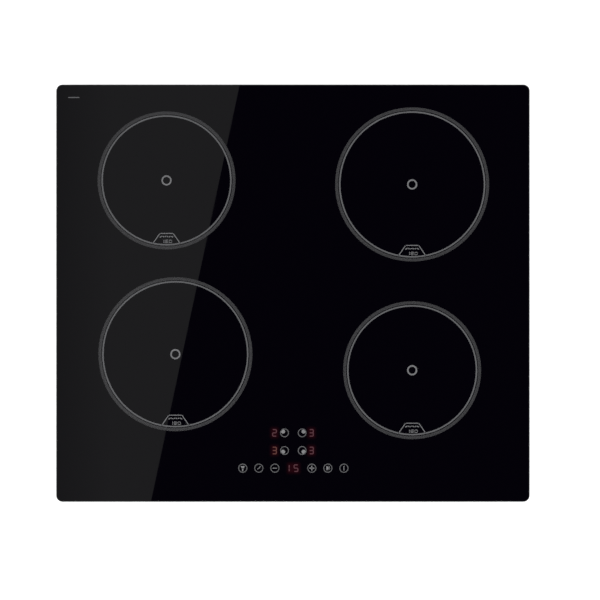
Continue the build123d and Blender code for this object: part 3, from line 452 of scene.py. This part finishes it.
SLOT_LOOKS = {
    "ceramic_glass": glass_look(),
    "enamel_print": ink_look("enamel_line", (0.070, 0.071, 0.074)),
    "seal_foam": foam_look(),
    "silicone": silicone_look(),
    "galvanised_sheet": sheet_look(),
    "zinc_steel": plated_look(),
    "circuit_board": board_look(),
    "heatsink_aluminium": aluminium_look("extruded_aluminium", (6.0, 0.5, 6.0), (0.66, 0.67, 0.68)),
    "epoxy_package": moulded_look("epoxy_package", (0.022, 0.022, 0.023), 0.5),
    "capacitor_case": moulded_look("capacitor_case", (0.50, 0.06, 0.035), 0.35, 900.0),
    "choke_winding": choke_look(),
    "spring_steel": spring_look(),
    "black_plastic": moulded_look("black_plastic", (0.018, 0.018, 0.019), 0.45),
    "display_case": moulded_look("display_case", (0.045, 0.043, 0.044), 0.3),
    "ribbon_grey": ribbon_look(),
    "grey_plastic": moulded_look("grey_plastic", (0.055, 0.055, 0.058), 0.5),
    "terminal_plastic": moulded_look("terminal_plastic", (0.62, 0.59, 0.50), 0.45),
    "deck_aluminium": aluminium_look("rolled_aluminium", (0.6, 8.0, 1.0), (0.72, 0.73, 0.74)),
    "ferrite": ferrite_look(),
    "former_plastic": moulded_look("former_plastic", (0.60, 0.57, 0.49), 0.55),
    "mica": mica_look(),
    "sensor_ceramic": moulded_look("sensor_ceramic", (0.78, 0.77, 0.72), 0.4, 2200.0, 0.02 * MM),
}


def dress(obj, material):
    """Gives an object one material in every slot."""
    if not obj.material_slots:
        obj.data.materials.append(material)
    for entry in obj.material_slots:
        entry.material = material


for part in frame["record"]["subparts"]:
    node = part["node"]
    name = part["material_slot"]
    if name == "copper_litz":
        dress(frame["nodes"][node], litz_look(node.replace("coil_winding_", "")))
    else:
        dress(frame["nodes"][node], SLOT_LOOKS[name])


# ---------------------------------------------------------------- mesh helpers
class Flat:
    """Thin shapes with straight sides, gathered in one mesh between two levels."""

    def __init__(self, low, high):
        self.mesh = bmesh.new()
        self.low = low
        self.high = high

    def prism(self, outline):
        """A closed shape from its outline, anticlockwise."""
        under = [self.mesh.verts.new((x, y, self.low)) for x, y in outline]
        over = [self.mesh.verts.new((x, y, self.high)) for x, y in outline]
        count = len(outline)
        for i in range(count):
            j = (i + 1) % count
            self.mesh.faces.new((under[i], under[j], over[j], over[i]))
        self.mesh.faces.new(over)
        self.mesh.faces.new(list(reversed(under)))

    def disc(self, centre, radius, steps):
        """A round plate."""
        x, y = centre
        angles = [2 * math.pi * k / steps for k in range(steps)]
        self.prism([(x + radius * math.cos(a), y + radius * math.sin(a)) for a in angles])

    def ring(self, centre, radius, width, steps=96):
        """A closed ring about its centre line."""
        x, y = centre
        rows = []
        for r, z in ((-0.5, self.low), (0.5, self.low), (0.5, self.high), (-0.5, self.high)):
            size = radius + r * width
            row = []
            for k in range(steps):
                angle = 2 * math.pi * k / steps
                place = (x + size * math.cos(angle), y + size * math.sin(angle), z)
                row.append(self.mesh.verts.new(place))
            rows.append(row)
        for a in range(4):
            b = (a + 1) % 4
            for k in range(steps):
                m = (k + 1) % steps
                self.mesh.faces.new((rows[a][k], rows[a][m], rows[b][m], rows[b][k]))

    def stroke(self, start, end, width, steps=6):
        """A straight stroke with round ends."""
        dx, dy = end[0] - start[0], end[1] - start[1]
        heading = math.atan2(dy, dx)
        outline = []
        for point, turn in ((end, -math.pi / 2), (start, math.pi / 2)):
            for k in range(steps + 1):
                angle = heading + turn + math.pi * k / steps
                x = point[0] + width / 2 * math.cos(angle)
                y = point[1] + width / 2 * math.sin(angle)
                outline.append((x, y))
        self.prism(outline)

    def bar(self, start, end, width, cut=0.5):
        """A straight bar with pointed ends, as in a light-bar digit."""
        along = Vector((end[0] - start[0], end[1] - start[1])).normalized()
        side = Vector((-along.y, along.x)) * width / 2
        a = Vector(start)
        b = Vector(end)
        inset = along * width * cut
        points = [a, a + inset - side, b - inset - side, b, b - inset + side, a + inset + side]
        self.prism([(p.x, p.y) for p in points])

    def finish(self, name, material, body="base", slot=None):
        """Makes the object, which rides a body."""
        data = bpy.data.meshes.new(name)
        self.mesh.normal_update()
        self.mesh.to_mesh(data)
        self.mesh.free()
        obj = bpy.data.objects.new(name, data)
        bpy.context.scene.collection.objects.link(obj)
        data.materials.append(material)
        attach(obj, body)
        return obj


SEGMENTS = {
    "a": ((0, 1), (1, 1)),
    "b": ((1, 1), (1, 0.5)),
    "c": ((1, 0.5), (1, 0)),
    "d": ((0, 0), (1, 0)),
    "e": ((0, 0), (0, 0.5)),
    "f": ((0, 0.5), (0, 1)),
    "g": ((0, 0.5), (1, 0.5)),
}
DIGITS = {
    "0": "abcdef", "1": "bc", "2": "abged", "3": "abgcd", "5": "afgcd", "6": "afgcde", "8": "abcdefg",
}


def zone_centre(zone):
    """The middle of a zone, over the middle of its mica sheet."""
    low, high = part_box(f"mica_sheet_{zone}")
    return ((low.x + high.x) / 2, (low.y + high.y) / 2)


def zone_print(flat, marks, zone):
    """The bright circle, centre mark and label frame of one zone."""
    x, y = zone_centre(zone)
    radius = ZONE_RADIUS[zone]
    flat.ring((x, y), radius + LINE_SHIFT, LINE, ZONE_STEPS)
    marks.ring((x, y), CENTRE_RADIUS, CENTRE_LINE, KEY_STEPS)
    foot = y - math.sqrt(radius**2 - LABEL_FOOT**2)
    top = y - radius + LABEL_RISE
    corners = [(x - LABEL_FOOT, foot), (x - LABEL_TOP, top), (x + LABEL_TOP, top), (x + LABEL_FOOT, foot)]
    for start, end in zip(corners, corners[1:]):
        marks.stroke(start, end, LABEL_LINE)
    for step in range(WAVE_STEPS):
        rise = WAVE_RISE if step % 2 else -WAVE_RISE
        place = step - WAVE_STEPS / 2
        left = (x + place * WAVE_PITCH, top - WAVE_DROP + rise)
        right = (x + (place + 1) * WAVE_PITCH, top - WAVE_DROP - rise)
        marks.stroke(left, right, WAVE_LINE)
    size = str(round(radius * 2 / MM))
    for place, digit in enumerate(size):
        left = x + (place - 1) * SIZE_PITCH - SIZE_SIDE / 2
        for name in DIGITS[digit]:
            ends = [(left + u * SIZE_SIDE, top - SIZE_DROP + v * SIZE_SIDE) for u, v in SEGMENTS[name]]
            marks.stroke(ends[0], ends[1], SIZE_LINE, 3)


def zone_band(flat, zone):
    """The hatched band round a zone: slanted dashes between two hairlines."""
    x, y = zone_centre(zone)
    inner = ZONE_RADIUS[zone] + LINE_SHIFT + LINE / 2 + BAND_GAP
    outer = inner + BAND_WIDTH
    flat.ring((x, y), outer + BAND_EDGE / 2, BAND_EDGE, ZONE_STEPS)
    count = int(2 * math.pi * inner / HATCH_PITCH)
    lean = HATCH_LEAN * BAND_WIDTH / inner
    for k in range(count):
        angle = 2 * math.pi * k / count
        start = (x + inner * math.cos(angle), y + inner * math.sin(angle))
        end = (x + outer * math.cos(angle + lean), y + outer * math.sin(angle + lean))
        flat.stroke(start, end, HATCH_WIDTH, 2)


def key_print(rings, flat):
    """The round touch keys and their symbols."""
    for row, from_front in zip((1, -1), KEY_ROWS):
        for side in (-1, 1):
            x, y = side * ZONE_KEY_X + KEY_SHIFT, FRONT + from_front
            rings.ring((x, y), ZONE_KEY_RADIUS, KEY_LINE, KEY_STEPS)
            flat.disc((x + side * 1.75 * MM, y + row * 1.6 * MM), KEY_DOT, 28)
    near, middle, far = FUNCTION_X
    y = FRONT + FUNCTION_ROW
    glyphs = {
        -far: [((0, -0.2), (0, -2.9), 1.5)],
        -middle: [((-1.6, -0.9), (0, -0.4), 0.8), ((0, -0.4), (2.0, 2.2), 0.8)],
        -near: [((-2.4, 0), (2.4, 0), 0.85)],
        near: [((-2.5, 0), (2.5, 0), 1.3), ((0, -2.5), (0, 2.5), 1.3)],
        middle: [((1.3, -2.0), (2.4, 0.0), 0.8), ((2.4, 0.0), (1.3, 2.0), 0.8)],
        far: [((0, -2.7), (0, 2.7), 0.8)],
    }
    solid_shapes = {
        -far: [(-0.9, -0.6), (0.9, -0.6), (2.5, 2.6), (-2.5, 2.6)],
        middle: [(-1.9, -2.4), (-0.6, -2.4), (1.4, 0.0), (-0.6, 2.4), (-1.9, 2.4)],
    }
    for x, outline in solid_shapes.items():
        flat.prism([(x + KEY_SHIFT + u * MM, y + v * MM) for u, v in outline])
    for x, strokes in glyphs.items():
        rings.ring((x + KEY_SHIFT, y), KEY_RADIUS, KEY_LINE, KEY_STEPS)
        for start, end, width in strokes:
            a = (x + KEY_SHIFT + start[0] * MM, y + start[1] * MM)
            b = (x + KEY_SHIFT + end[0] * MM, y + end[1] * MM)
            flat.stroke(a, b, width * MM)


def printed_marks():
    """The enamel print on the glass, in four pieces of different strength."""
    lines = Flat(GLASS_TOP, GLASS_TOP + INK)
    marks = Flat(GLASS_TOP, GLASS_TOP + INK)
    keys = Flat(GLASS_TOP, GLASS_TOP + INK)
    for zone in ZONES:
        zone_print(lines, marks, zone)
    key_print(lines, keys)
    dash_y = glass_high.y - DASH_DROP
    lines.stroke((DASH_ENDS[0], dash_y), (DASH_ENDS[1], dash_y), DASH_LINE)
    print_lines = lines.finish("print_lines", SLOT_LOOKS["enamel_print"], slot="enamel_print")
    mark_look = ink_look("enamel_marks", (0.120, 0.121, 0.125))
    print_marks = marks.finish("print_marks", mark_look, slot="enamel_print")
    key_look = ink_look("enamel_keys", (0.155, 0.155, 0.160))
    print_keys = keys.finish("print_keys", key_look, slot="enamel_print")
    hatch = Flat(GLASS_TOP, GLASS_TOP + INK / 2)
    for zone in ZONES:
        zone_band(hatch, zone)
    hatch_look = ink_look("enamel_hatch", (0.023, 0.023, 0.025))
    print_hatch = hatch.finish("print_hatch", hatch_look, slot="enamel_print")
    for piece in (print_lines, print_marks, print_keys, print_hatch):
        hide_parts("ceramic_print")


def lit_digit(flat, digit, x, y):
    """One light-bar digit about its centre."""
    for name in DIGITS[digit]:
        (u0, v0), (u1, v1) = SEGMENTS[name]
        a = (x + (u0 - 0.5) * DIGIT_WIDTH, y + (v0 - 0.5) * DIGIT_HEIGHT)
        b = (x + (u1 - 0.5) * DIGIT_WIDTH, y + (v1 - 0.5) * DIGIT_HEIGHT)
        flat.bar(a, b, DIGIT_LINE)


def lit_digits():
    """What the displays show through the glass: power levels and the timer."""
    red = Flat(GLASS_TOP, GLASS_TOP + INK / 4)
    amber = Flat(GLASS_TOP, GLASS_TOP + INK / 4)
    for (side, row), digit in LEVELS.items():
        flat = amber if (side, row) == AMBER_LEVEL else red
        lit_digit(flat, digit, side * DIGIT_X, FRONT + KEY_ROWS[row])
    for x, digit in zip(TIMER_X, TIMER):
        lit_digit(red, digit, x, FRONT + FUNCTION_ROW)
    red.finish("display_light", lit_look("lit_red", (0.071, 0.031, 0.040)), slot="display_case")
    amber.finish("display_light_amber", lit_look("lit_amber", (0.098, 0.041, 0.032)), slot="display_case")


printed_marks()
lit_digits()


# ---------------------------------------------------------------- small parts on the CAD pieces
class Bits:
    """Small closed solids gathered in one mesh: bevelled blocks and turned pieces."""

    def __init__(self):
        self.mesh = bmesh.new()

    def add(self, verts, faces):
        """A closed shape from its corners and its faces."""
        made = [self.mesh.verts.new(v) for v in verts]
        for face in faces:
            self.mesh.faces.new([made[i] for i in face])

    def block(self, low, high, bevel):
        """A block with its four upright edges and its upper rim cut."""
        (x0, y0, z0), (x1, y1, z1) = low, high
        cut = min(bevel, (x1 - x0) / 3, (y1 - y0) / 3, (z1 - z0) / 2)
        rows = []
        for z, inset in ((z0, 0.0), (z1 - cut, 0.0), (z1, cut)):
            a, b, c, d = x0 + inset, x1 - inset, y0 + inset, y1 - inset
            rim = [(a + cut, c), (b - cut, c), (b, c + cut), (b, d - cut)]
            rim += [(b - cut, d), (a + cut, d), (a, d - cut), (a, c + cut)]
            rows.append([(x, y, z) for x, y in rim])
        verts = [v for row in rows for v in row]
        faces = [tuple(reversed(range(8))), tuple(range(16, 24))]
        for row in range(2):
            for k in range(8):
                m = (k + 1) % 8
                faces.append((row * 8 + k, row * 8 + m, row * 8 + 8 + m, row * 8 + 8 + k))
        self.add(verts, faces)

    def seat(self, corner, size, side, bevel):
        """A block from its lower corner and its size in millimetres, mirrored on the left side."""
        x, y, z = corner
        length, depth, height = millimetres(*size)
        if side > 0:
            self.block((x, y, z), (x + length, y + depth, z + height), bevel * MM)
        else:
            self.block((-x - length, y, z), (-x, y + depth, z + height), bevel * MM)

    def about(self, centre, size, bevel):
        """A block about a point of its lower face, from its half sizes and height in millimetres."""
        x, y, z = centre
        half_x, half_y, height = millimetres(*size)
        self.block((x - half_x, y - half_y, z), (x + half_x, y + half_y, z + height), bevel * MM)

    def turned(self, centre, profile, steps=24):
        """A solid of revolution about Z from its radii and heights, from below to above."""
        verts = []
        for radius, z in profile:
            for k in range(steps):
                angle = 2 * math.pi * k / steps
                x = centre[0] + radius * math.cos(angle)
                y = centre[1] + radius * math.sin(angle)
                verts.append((x, y, z))
        last = (len(profile) - 1) * steps
        faces = [tuple(reversed(range(steps))), tuple(range(last, last + steps))]
        for row in range(len(profile) - 1):
            for k in range(steps):
                m = (k + 1) % steps
                a = row * steps
                faces.append((a + k, a + m, a + steps + m, a + steps + k))
        self.add(verts, faces)

    finish = Flat.finish


def millimetres(*values):
    """Lengths given in millimetres, in metres."""
    return tuple(value * MM for value in values)


# Rows of small parts on each power board, in millimetres: x from the hob's middle line, the first
# one's place from the board's rear edge, the pitch, the count and each one's size.
Row = namedtuple("Row", "x first pitch count size")
RELAYS = Row(32, 52, 26, 3, (19, 15.5, 15))
CANS = Row(66, 20, 19, 4, None)
CAN_PROFILE = ((7.2, 0.4), (7.9, 1.2), (7.9, 2.6), (7.3, 3.2), (7.9, 3.8), (7.9, 16.4), (7.2, 17.2))
CONNECTORS = Row(60, 100, 16, 3, (16, 7, 9))
CONNECTOR_PINS = Row(2, 3, 3.6, 4, (0.8, 0.8, 2.7))
CONNECTOR_PIN_FOOT = 8.8
DRIVERS = Row(206, 30, 32, 6, (10, 7.5, 2.4))
DRIVER_LEADS = Row((-1.2, 10.0), 0.5, 1.0, 7, (1.2, 0.5, 1.0))
SMALL_PARTS = Row(226, 24, 21, 9, (6.4, 3.2, 1.2))


def row_places(row, rear):
    """The x and y of each part of a row on the right board."""
    return [(row.x * MM, rear - (row.first + step * row.pitch) * MM) for step in range(row.count)]


def power_board_bits():
    """Relays, electrolytic capacitors, connectors and chips on the two power boards."""
    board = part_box("power_boards")[1]
    top = board.z
    black = Bits()
    tall = Bits()
    white = Bits()
    metal = Bits()
    for side in (-1, 1):
        for x, y in row_places(RELAYS, board.y):
            black.seat((x, y, top), RELAYS.size, side, 0.8)
        for x, y in row_places(CANS, board.y):
            tall.turned((side * x, y), [(r * MM, top + z * MM) for r, z in CAN_PROFILE], 32)
        for x, y in row_places(CONNECTORS, board.y):
            white.seat((x, y, top), CONNECTORS.size, side, 0.6)
            for pin in range(CONNECTOR_PINS.count):
                across = x + (CONNECTOR_PINS.x + pin * CONNECTOR_PINS.pitch) * MM
                foot = (across, y + CONNECTOR_PINS.first * MM, top + CONNECTOR_PIN_FOOT * MM)
                metal.seat(foot, CONNECTOR_PINS.size, side, 0.15)
        for x, y in row_places(DRIVERS, board.y):
            black.seat((x, y, top), DRIVERS.size, side, 0.3)
            for pin in range(DRIVER_LEADS.count):
                along = y + (DRIVER_LEADS.first + pin * DRIVER_LEADS.pitch) * MM
                for edge in DRIVER_LEADS.x:
                    metal.seat((x + edge * MM, along, top), DRIVER_LEADS.size, side, 0.1)
        for x, y in row_places(SMALL_PARTS, board.y):
            tall.seat((x, y, top), SMALL_PARTS.size, side, 0.2)
    black.finish("board_relays", SLOT_LOOKS["epoxy_package"], slot="epoxy_package")
    tall.finish("board_capacitors", SLOT_LOOKS["black_plastic"], slot="black_plastic")
    white.finish("board_connectors", SLOT_LOOKS["terminal_plastic"], slot="terminal_plastic")
    metal.finish("board_leads", SLOT_LOOKS["zinc_steel"], slot="zinc_steel")


# The touch board's parts and the ribbons' sockets, in millimetres. Sizes that end in a height are
# half lengths, half depths and the height.
CHIP_X = 54.0
CHIP_FROM_REAR = 18.0
CHIP_SIZE = (5.0, 5.0, 1.4)
CHIP_LEADS = 11
CHIP_LEAD_PITCH = 0.8
CHIP_LEAD_REACH = 5.5
CHIP_LEAD_SIZE = (0.2, 0.7, 0.5)
RESISTORS = Row(33, 9, 3.2, 5, (1.0, 0.6, 0.7))
SOCKET_X = 40.0
SOCKET_SIZE = (12.5, 3.0, 5.0)
SOCKET_INSET = 0.5


def control_board_bits():
    """A controller chip and small parts on the touch board, and the sockets of the ribbons."""
    low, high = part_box("control_board")
    chips = Bits()
    leads = Bits()
    sockets = Bits()
    half, reach, rise = CHIP_LEAD_SIZE
    for side in (-1, 1):
        x, y = side * CHIP_X * MM, high.y - CHIP_FROM_REAR * MM
        chips.about((x, y, high.z), CHIP_SIZE, 0.3)
        for pin in range(CHIP_LEADS):
            shift = (pin - CHIP_LEADS // 2) * CHIP_LEAD_PITCH * MM
            for edge in (-1, 1):
                across = edge * CHIP_LEAD_REACH * MM
                leads.about((x + shift, y + across, high.z), (half, reach, rise), 0.05)
                leads.about((x + across, y + shift, high.z), (reach, half, rise), 0.05)
        for step in range(RESISTORS.count):
            place = (side * (RESISTORS.x + step * RESISTORS.pitch) * MM, high.y - RESISTORS.first * MM)
            chips.about((*place, high.z), RESISTORS.size, 0.1)
    ribbon_low, ribbon_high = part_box("ribbon_cables")
    board_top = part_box("power_boards")[1].z
    for side in (-1, 1):
        middle = side * SOCKET_X * MM
        upper_y = ribbon_low.y + SOCKET_INSET * MM
        lower_y = ribbon_high.y - SOCKET_INSET * MM
        sockets.about((middle, upper_y, low.z - SOCKET_SIZE[2] * MM), SOCKET_SIZE, 0.3)
        sockets.about((middle, lower_y, board_top), SOCKET_SIZE, 0.3)
    chips.finish("touch_board_chips", SLOT_LOOKS["epoxy_package"], slot="epoxy_package")
    leads.finish("touch_board_leads", SLOT_LOOKS["zinc_steel"], slot="zinc_steel")
    sockets.finish("ribbon_sockets", SLOT_LOOKS["terminal_plastic"], slot="terminal_plastic")


# The terminal block's screws.
POLES = (-2, -1, 0, 1, 2)
POLE_PITCH = 12.0 * MM
POLE_SHIFT = 4.0 * MM
SCREW_RADIUS = 2.4 * MM
SCREW_SLOT = 0.35 * MM
SCREW_HEAD = (2.2 * MM, 4.0 * MM)
SCREW_STEPS = 8
SCREW_PROFILE = ((2.4, 3.8), (2.4, 5.0), (1.8, 5.4), (1.8, 9.8))


def brass_look():
    """Brass with a soft, uneven gloss."""
    look = Look("brass", (0.72, 0.50, 0.20), 0.3, metallic=1.0)
    tone = look.noise(600.0, detail=3.0)
    look.set("Base Color", look.ramp(tone, (0.3, (0.62, 0.42, 0.15)), (0.7, (0.80, 0.58, 0.26))))
    look.set("Roughness", look.remap(tone, 0.22, 0.4))
    return look.material


def terminal_screws():
    """A slotted brass screw in each pole's well, seen when the flap is open."""
    low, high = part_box("terminal_block")
    brass = Bits()
    middle = (low.y + high.y) / 2 - POLE_SHIFT
    for pole in POLES:
        x = pole * POLE_PITCH
        for side in (-1, 1):
            points = []
            for k in range(SCREW_STEPS + 1):
                angle = side * math.pi / 2 - math.pi / 2 + math.pi * k / SCREW_STEPS
                slot = side * SCREW_SLOT if k in (0, SCREW_STEPS) else 0.0
                u = x + SCREW_RADIUS * math.cos(angle)
                v = middle + SCREW_RADIUS * math.sin(angle) + slot
                points.append((u, v))
            count = len(points)
            verts = [(u, v, low.z + level) for level in SCREW_HEAD for u, v in points]
            faces = [tuple(reversed(range(count))), tuple(range(count, 2 * count))]
            for k in range(count):
                m = (k + 1) % count
                faces.append((k, m, count + m, count + k))
            brass.add(verts, faces)
        brass.turned((x, middle), [(r * MM, low.z + z * MM) for r, z in SCREW_PROFILE])
    brass.finish("terminal_screws", brass_look(), slot="zinc_steel")


# The label on the underside.
PLATE = (96 * MM, -30 * MM, 176 * MM, 15 * MM)
PLATE_LEVELS = (-0.12 * MM, 0.02 * MM)
PLATE_INK = 0.04 * MM
PLATE_CORNER = 3.0 * MM
PLATE_BORDER = 4.0 * MM
PLATE_RULE = 0.35 * MM
PLATE_ROWS = 4
PLATE_COLUMNS = (0.0, 0.42, 1.0)


def rating_plate():
    """A plain silver label on the underside, with empty ruled boxes and no writing."""
    look = Look("plate_foil", (0.66, 0.66, 0.67), 0.35, metallic=0.6)
    grain = look.noise(500.0, detail=4.0, vector=look.stretched((8.0, 0.4, 1.0)))
    look.set("Base Color", look.ramp(grain, (0.3, (0.60, 0.60, 0.61)), (0.7, (0.72, 0.72, 0.73))))
    look.set("Roughness", look.remap(grain, 0.28, 0.45))
    under, over = PLATE_LEVELS
    foil = Flat(under, over)
    rules = Flat(under - PLATE_INK, under)
    x0, y0, x1, y1 = PLATE
    outline = []
    for x, y, start in ((x1, y0, -90), (x1, y1, 0), (x0, y1, 90), (x0, y0, 180)):
        mid_x = x - PLATE_CORNER if x == x1 else x + PLATE_CORNER
        mid_y = y - PLATE_CORNER if y == y1 else y + PLATE_CORNER
        for k in range(7):
            angle = math.radians(start + 15 * k)
            u = mid_x + PLATE_CORNER * math.cos(angle)
            v = mid_y + PLATE_CORNER * math.sin(angle)
            outline.append((u, v))
    foil.prism(outline)
    left, right = x0 + PLATE_BORDER, x1 - PLATE_BORDER
    front, rear = y0 + PLATE_BORDER, y1 - PLATE_BORDER
    for step in range(PLATE_ROWS + 1):
        level = front + step * (rear - front) / PLATE_ROWS
        rules.stroke((left, level), (right, level), PLATE_RULE, 2)
    for share in PLATE_COLUMNS:
        x = left + share * (right - left)
        rules.stroke((x, front), (x, rear), PLATE_RULE, 2)
    foil.finish("rating_plate", look.material, slot="galvanised_sheet")
    rules.finish("rating_rules", ink_look("plate_ink", (0.03, 0.03, 0.032)), slot="enamel_print")


power_board_bits()
control_board_bits()
terminal_screws()
rating_plate()


# ---------------------------------------------------------------- studio
# The camera looks straight down through a long lens, a little to the right of the middle.
CAMERA_LENS = 150.0
SENSOR = 36.0
VIEW_WIDTH = 0.7475
CAMERA_X = 8.8 * MM
CAMERA_Y = -8.5 * MM
CAMERA_ABOVE = VIEW_WIDTH * CAMERA_LENS / SENSOR
FLOOR_GLOW = 0.93
FLOOR_LEVEL = -0.3 * MM
FLOOR_HALF = 12.0
CARD_ABOVE_CAMERA = 0.45
CARD_LEFT = -0.46
CARD_REACH = 0.42
CARD_EDGE_REAR = (-0.0663, 0.260)
CARD_EDGE_FRONT = (-0.177, -0.260)
CARD_DIM = (-0.300, 0.19)
CARD_BRIGHT = (-0.225, 0.272)


def studio_floor():
    """A plain pale floor that glows, so that it stays white. It can't be seen from below."""
    data = bpy.data.meshes.new("floor")
    signs = [(-1, -1), (1, -1), (1, 1), (-1, 1)]
    corners = [(u * FLOOR_HALF, v * FLOOR_HALF, FLOOR_LEVEL) for u, v in signs]
    data.from_pydata(corners, [], [(0, 1, 2, 3)])
    floor = bpy.data.objects.new("floor", data)
    bpy.context.scene.collection.objects.link(floor)
    look = Look("floor", (0.32, 0.32, 0.32), 0.9)
    look.set("Specular IOR Level", 0.0)
    look.set("Emission Color", (1.0, 1.0, 1.0, 1.0))
    look.set("Emission Strength", FLOOR_GLOW)
    mix = look.add("ShaderNodeMixShader")
    look.feed(mix, {0: look.add("ShaderNodeNewGeometry").outputs["Backfacing"]})
    look.tree.links.new(look.shader.outputs[0], mix.inputs[1])
    look.tree.links.new(look.add("ShaderNodeBsdfTransparent").outputs[0], mix.inputs[2])
    output = next(node for node in look.tree.nodes if node.type == "OUTPUT_MATERIAL")
    look.tree.links.new(mix.outputs[0], output.inputs[0])
    data.materials.append(look.material)


def studio_world():
    """Pale low surroundings and a dark zenith, which the glass mirrors."""
    world = bpy.data.worlds.new("studio")
    bpy.context.scene.world = world
    world.use_nodes = True
    tree = world.node_tree
    tree.nodes.clear()
    coords = tree.nodes.new("ShaderNodeTexCoord")
    split = tree.nodes.new("ShaderNodeSeparateXYZ")
    ramp = tree.nodes.new("ShaderNodeValToRGB")
    background = tree.nodes.new("ShaderNodeBackground")
    output = tree.nodes.new("ShaderNodeOutputWorld")
    tree.links.new(coords.outputs["Generated"], split.inputs[0])
    tree.links.new(split.outputs[2], ramp.inputs[0])
    tree.links.new(ramp.outputs[0], background.inputs[0])
    tree.links.new(background.outputs[0], output.inputs[0])
    stops = [
        (0.0, (0.80, 0.80, 0.81)),
        (0.06, (0.55, 0.56, 0.58)),
        (0.22, (0.20, 0.205, 0.22)),
        (0.50, (0.10, 0.103, 0.115)),
        (0.80, (0.045, 0.046, 0.055)),
        (0.93, (0.010, 0.006, 0.022)),
        (1.0, (0.008, 0.004, 0.020)),
    ]
    while len(ramp.color_ramp.elements) < len(stops):
        ramp.color_ramp.elements.new(0.5)
    for element, (position, color) in zip(ramp.color_ramp.elements, stops):
        element.position = position
        element.color = (*color, 1.0)


def soft_light(name, place, size, energy):
    """A square soft light that faces the object."""
    data = bpy.data.lights.new(name, "AREA")
    data.shape = "RECTANGLE"
    data.size, data.size_y = size
    data.energy = energy
    light = bpy.data.objects.new(name, data)
    bpy.context.scene.collection.objects.link(light)
    light.location = place
    aim = Vector((0, 0, 0.05)) - Vector(place)
    light.rotation_mode = "QUATERNION"
    light.rotation_quaternion = aim.to_track_quat("-Z", "Y")


def studio_camera():
    """The camera above the glass."""
    data = bpy.data.cameras.new("camera")
    data.lens = CAMERA_LENS
    data.sensor_width = SENSOR
    camera = bpy.data.objects.new("camera", data)
    bpy.context.scene.collection.objects.link(camera)
    camera.location = (CAMERA_X, CAMERA_Y, GLASS_TOP + CAMERA_ABOVE)
    bpy.context.scene.camera = camera


def mirror_card():
    """A dim card above the camera. The glass mirrors it on the left, up to a slanted edge."""
    height = CAMERA_ABOVE + CARD_ABOVE_CAMERA
    spread = (CAMERA_ABOVE + height) / CAMERA_ABOVE
    rear_x, rear_y = CARD_EDGE_REAR
    front_x, front_y = CARD_EDGE_FRONT
    slope = (rear_x - front_x) / (rear_y - front_y)
    mirrored = [
        (CARD_LEFT, -CARD_REACH),
        (front_x + slope * (-CARD_REACH - front_y), -CARD_REACH),
        (rear_x + slope * (CARD_REACH - rear_y), CARD_REACH),
        (CARD_LEFT, CARD_REACH),
    ]
    corners = []
    for x, y in mirrored:
        card_x = CAMERA_X + (x - CAMERA_X) * spread
        card_y = CAMERA_Y + (y - CAMERA_Y) * spread
        corners.append((card_x, card_y, GLASS_TOP + height))
    data = bpy.data.meshes.new("mirror_card")
    data.from_pydata(corners, [], [(3, 2, 1, 0)])
    card = bpy.data.objects.new("mirror_card", data)
    bpy.context.scene.collection.objects.link(card)
    look = Look("mirror_card", (0.0, 0.0, 0.0), 1.0)
    split = look.add("ShaderNodeSeparateXYZ")
    look.tree.links.new(look.place, split.inputs[0])
    (dim_x, dim), (bright_x, bright) = CARD_DIM, CARD_BRIGHT
    far = CAMERA_X + (dim_x - CAMERA_X) * spread
    near = CAMERA_X + (bright_x - CAMERA_X) * spread
    look.set("Specular IOR Level", 0.0)
    look.set("Emission Color", (1.0, 1.0, 1.0, 1.0))
    look.set("Emission Strength", look.remap(split.outputs[0], dim, bright, far, near))
    data.materials.append(look.material)
    card.visible_camera = False


studio_floor()
studio_world()
studio_camera()
mirror_card()
soft_light("key", (-1.5, -1.4, 2.6), (1.4, 1.4), 75.0)
soft_light("fill", (1.9, -0.6, 1.9), (1.6, 1.2), 40.0)
soft_light("rear", (0.4, 2.1, 1.9), (2.0, 1.0), 45.0)
bpy.context.scene.view_settings.view_transform = "Standard"
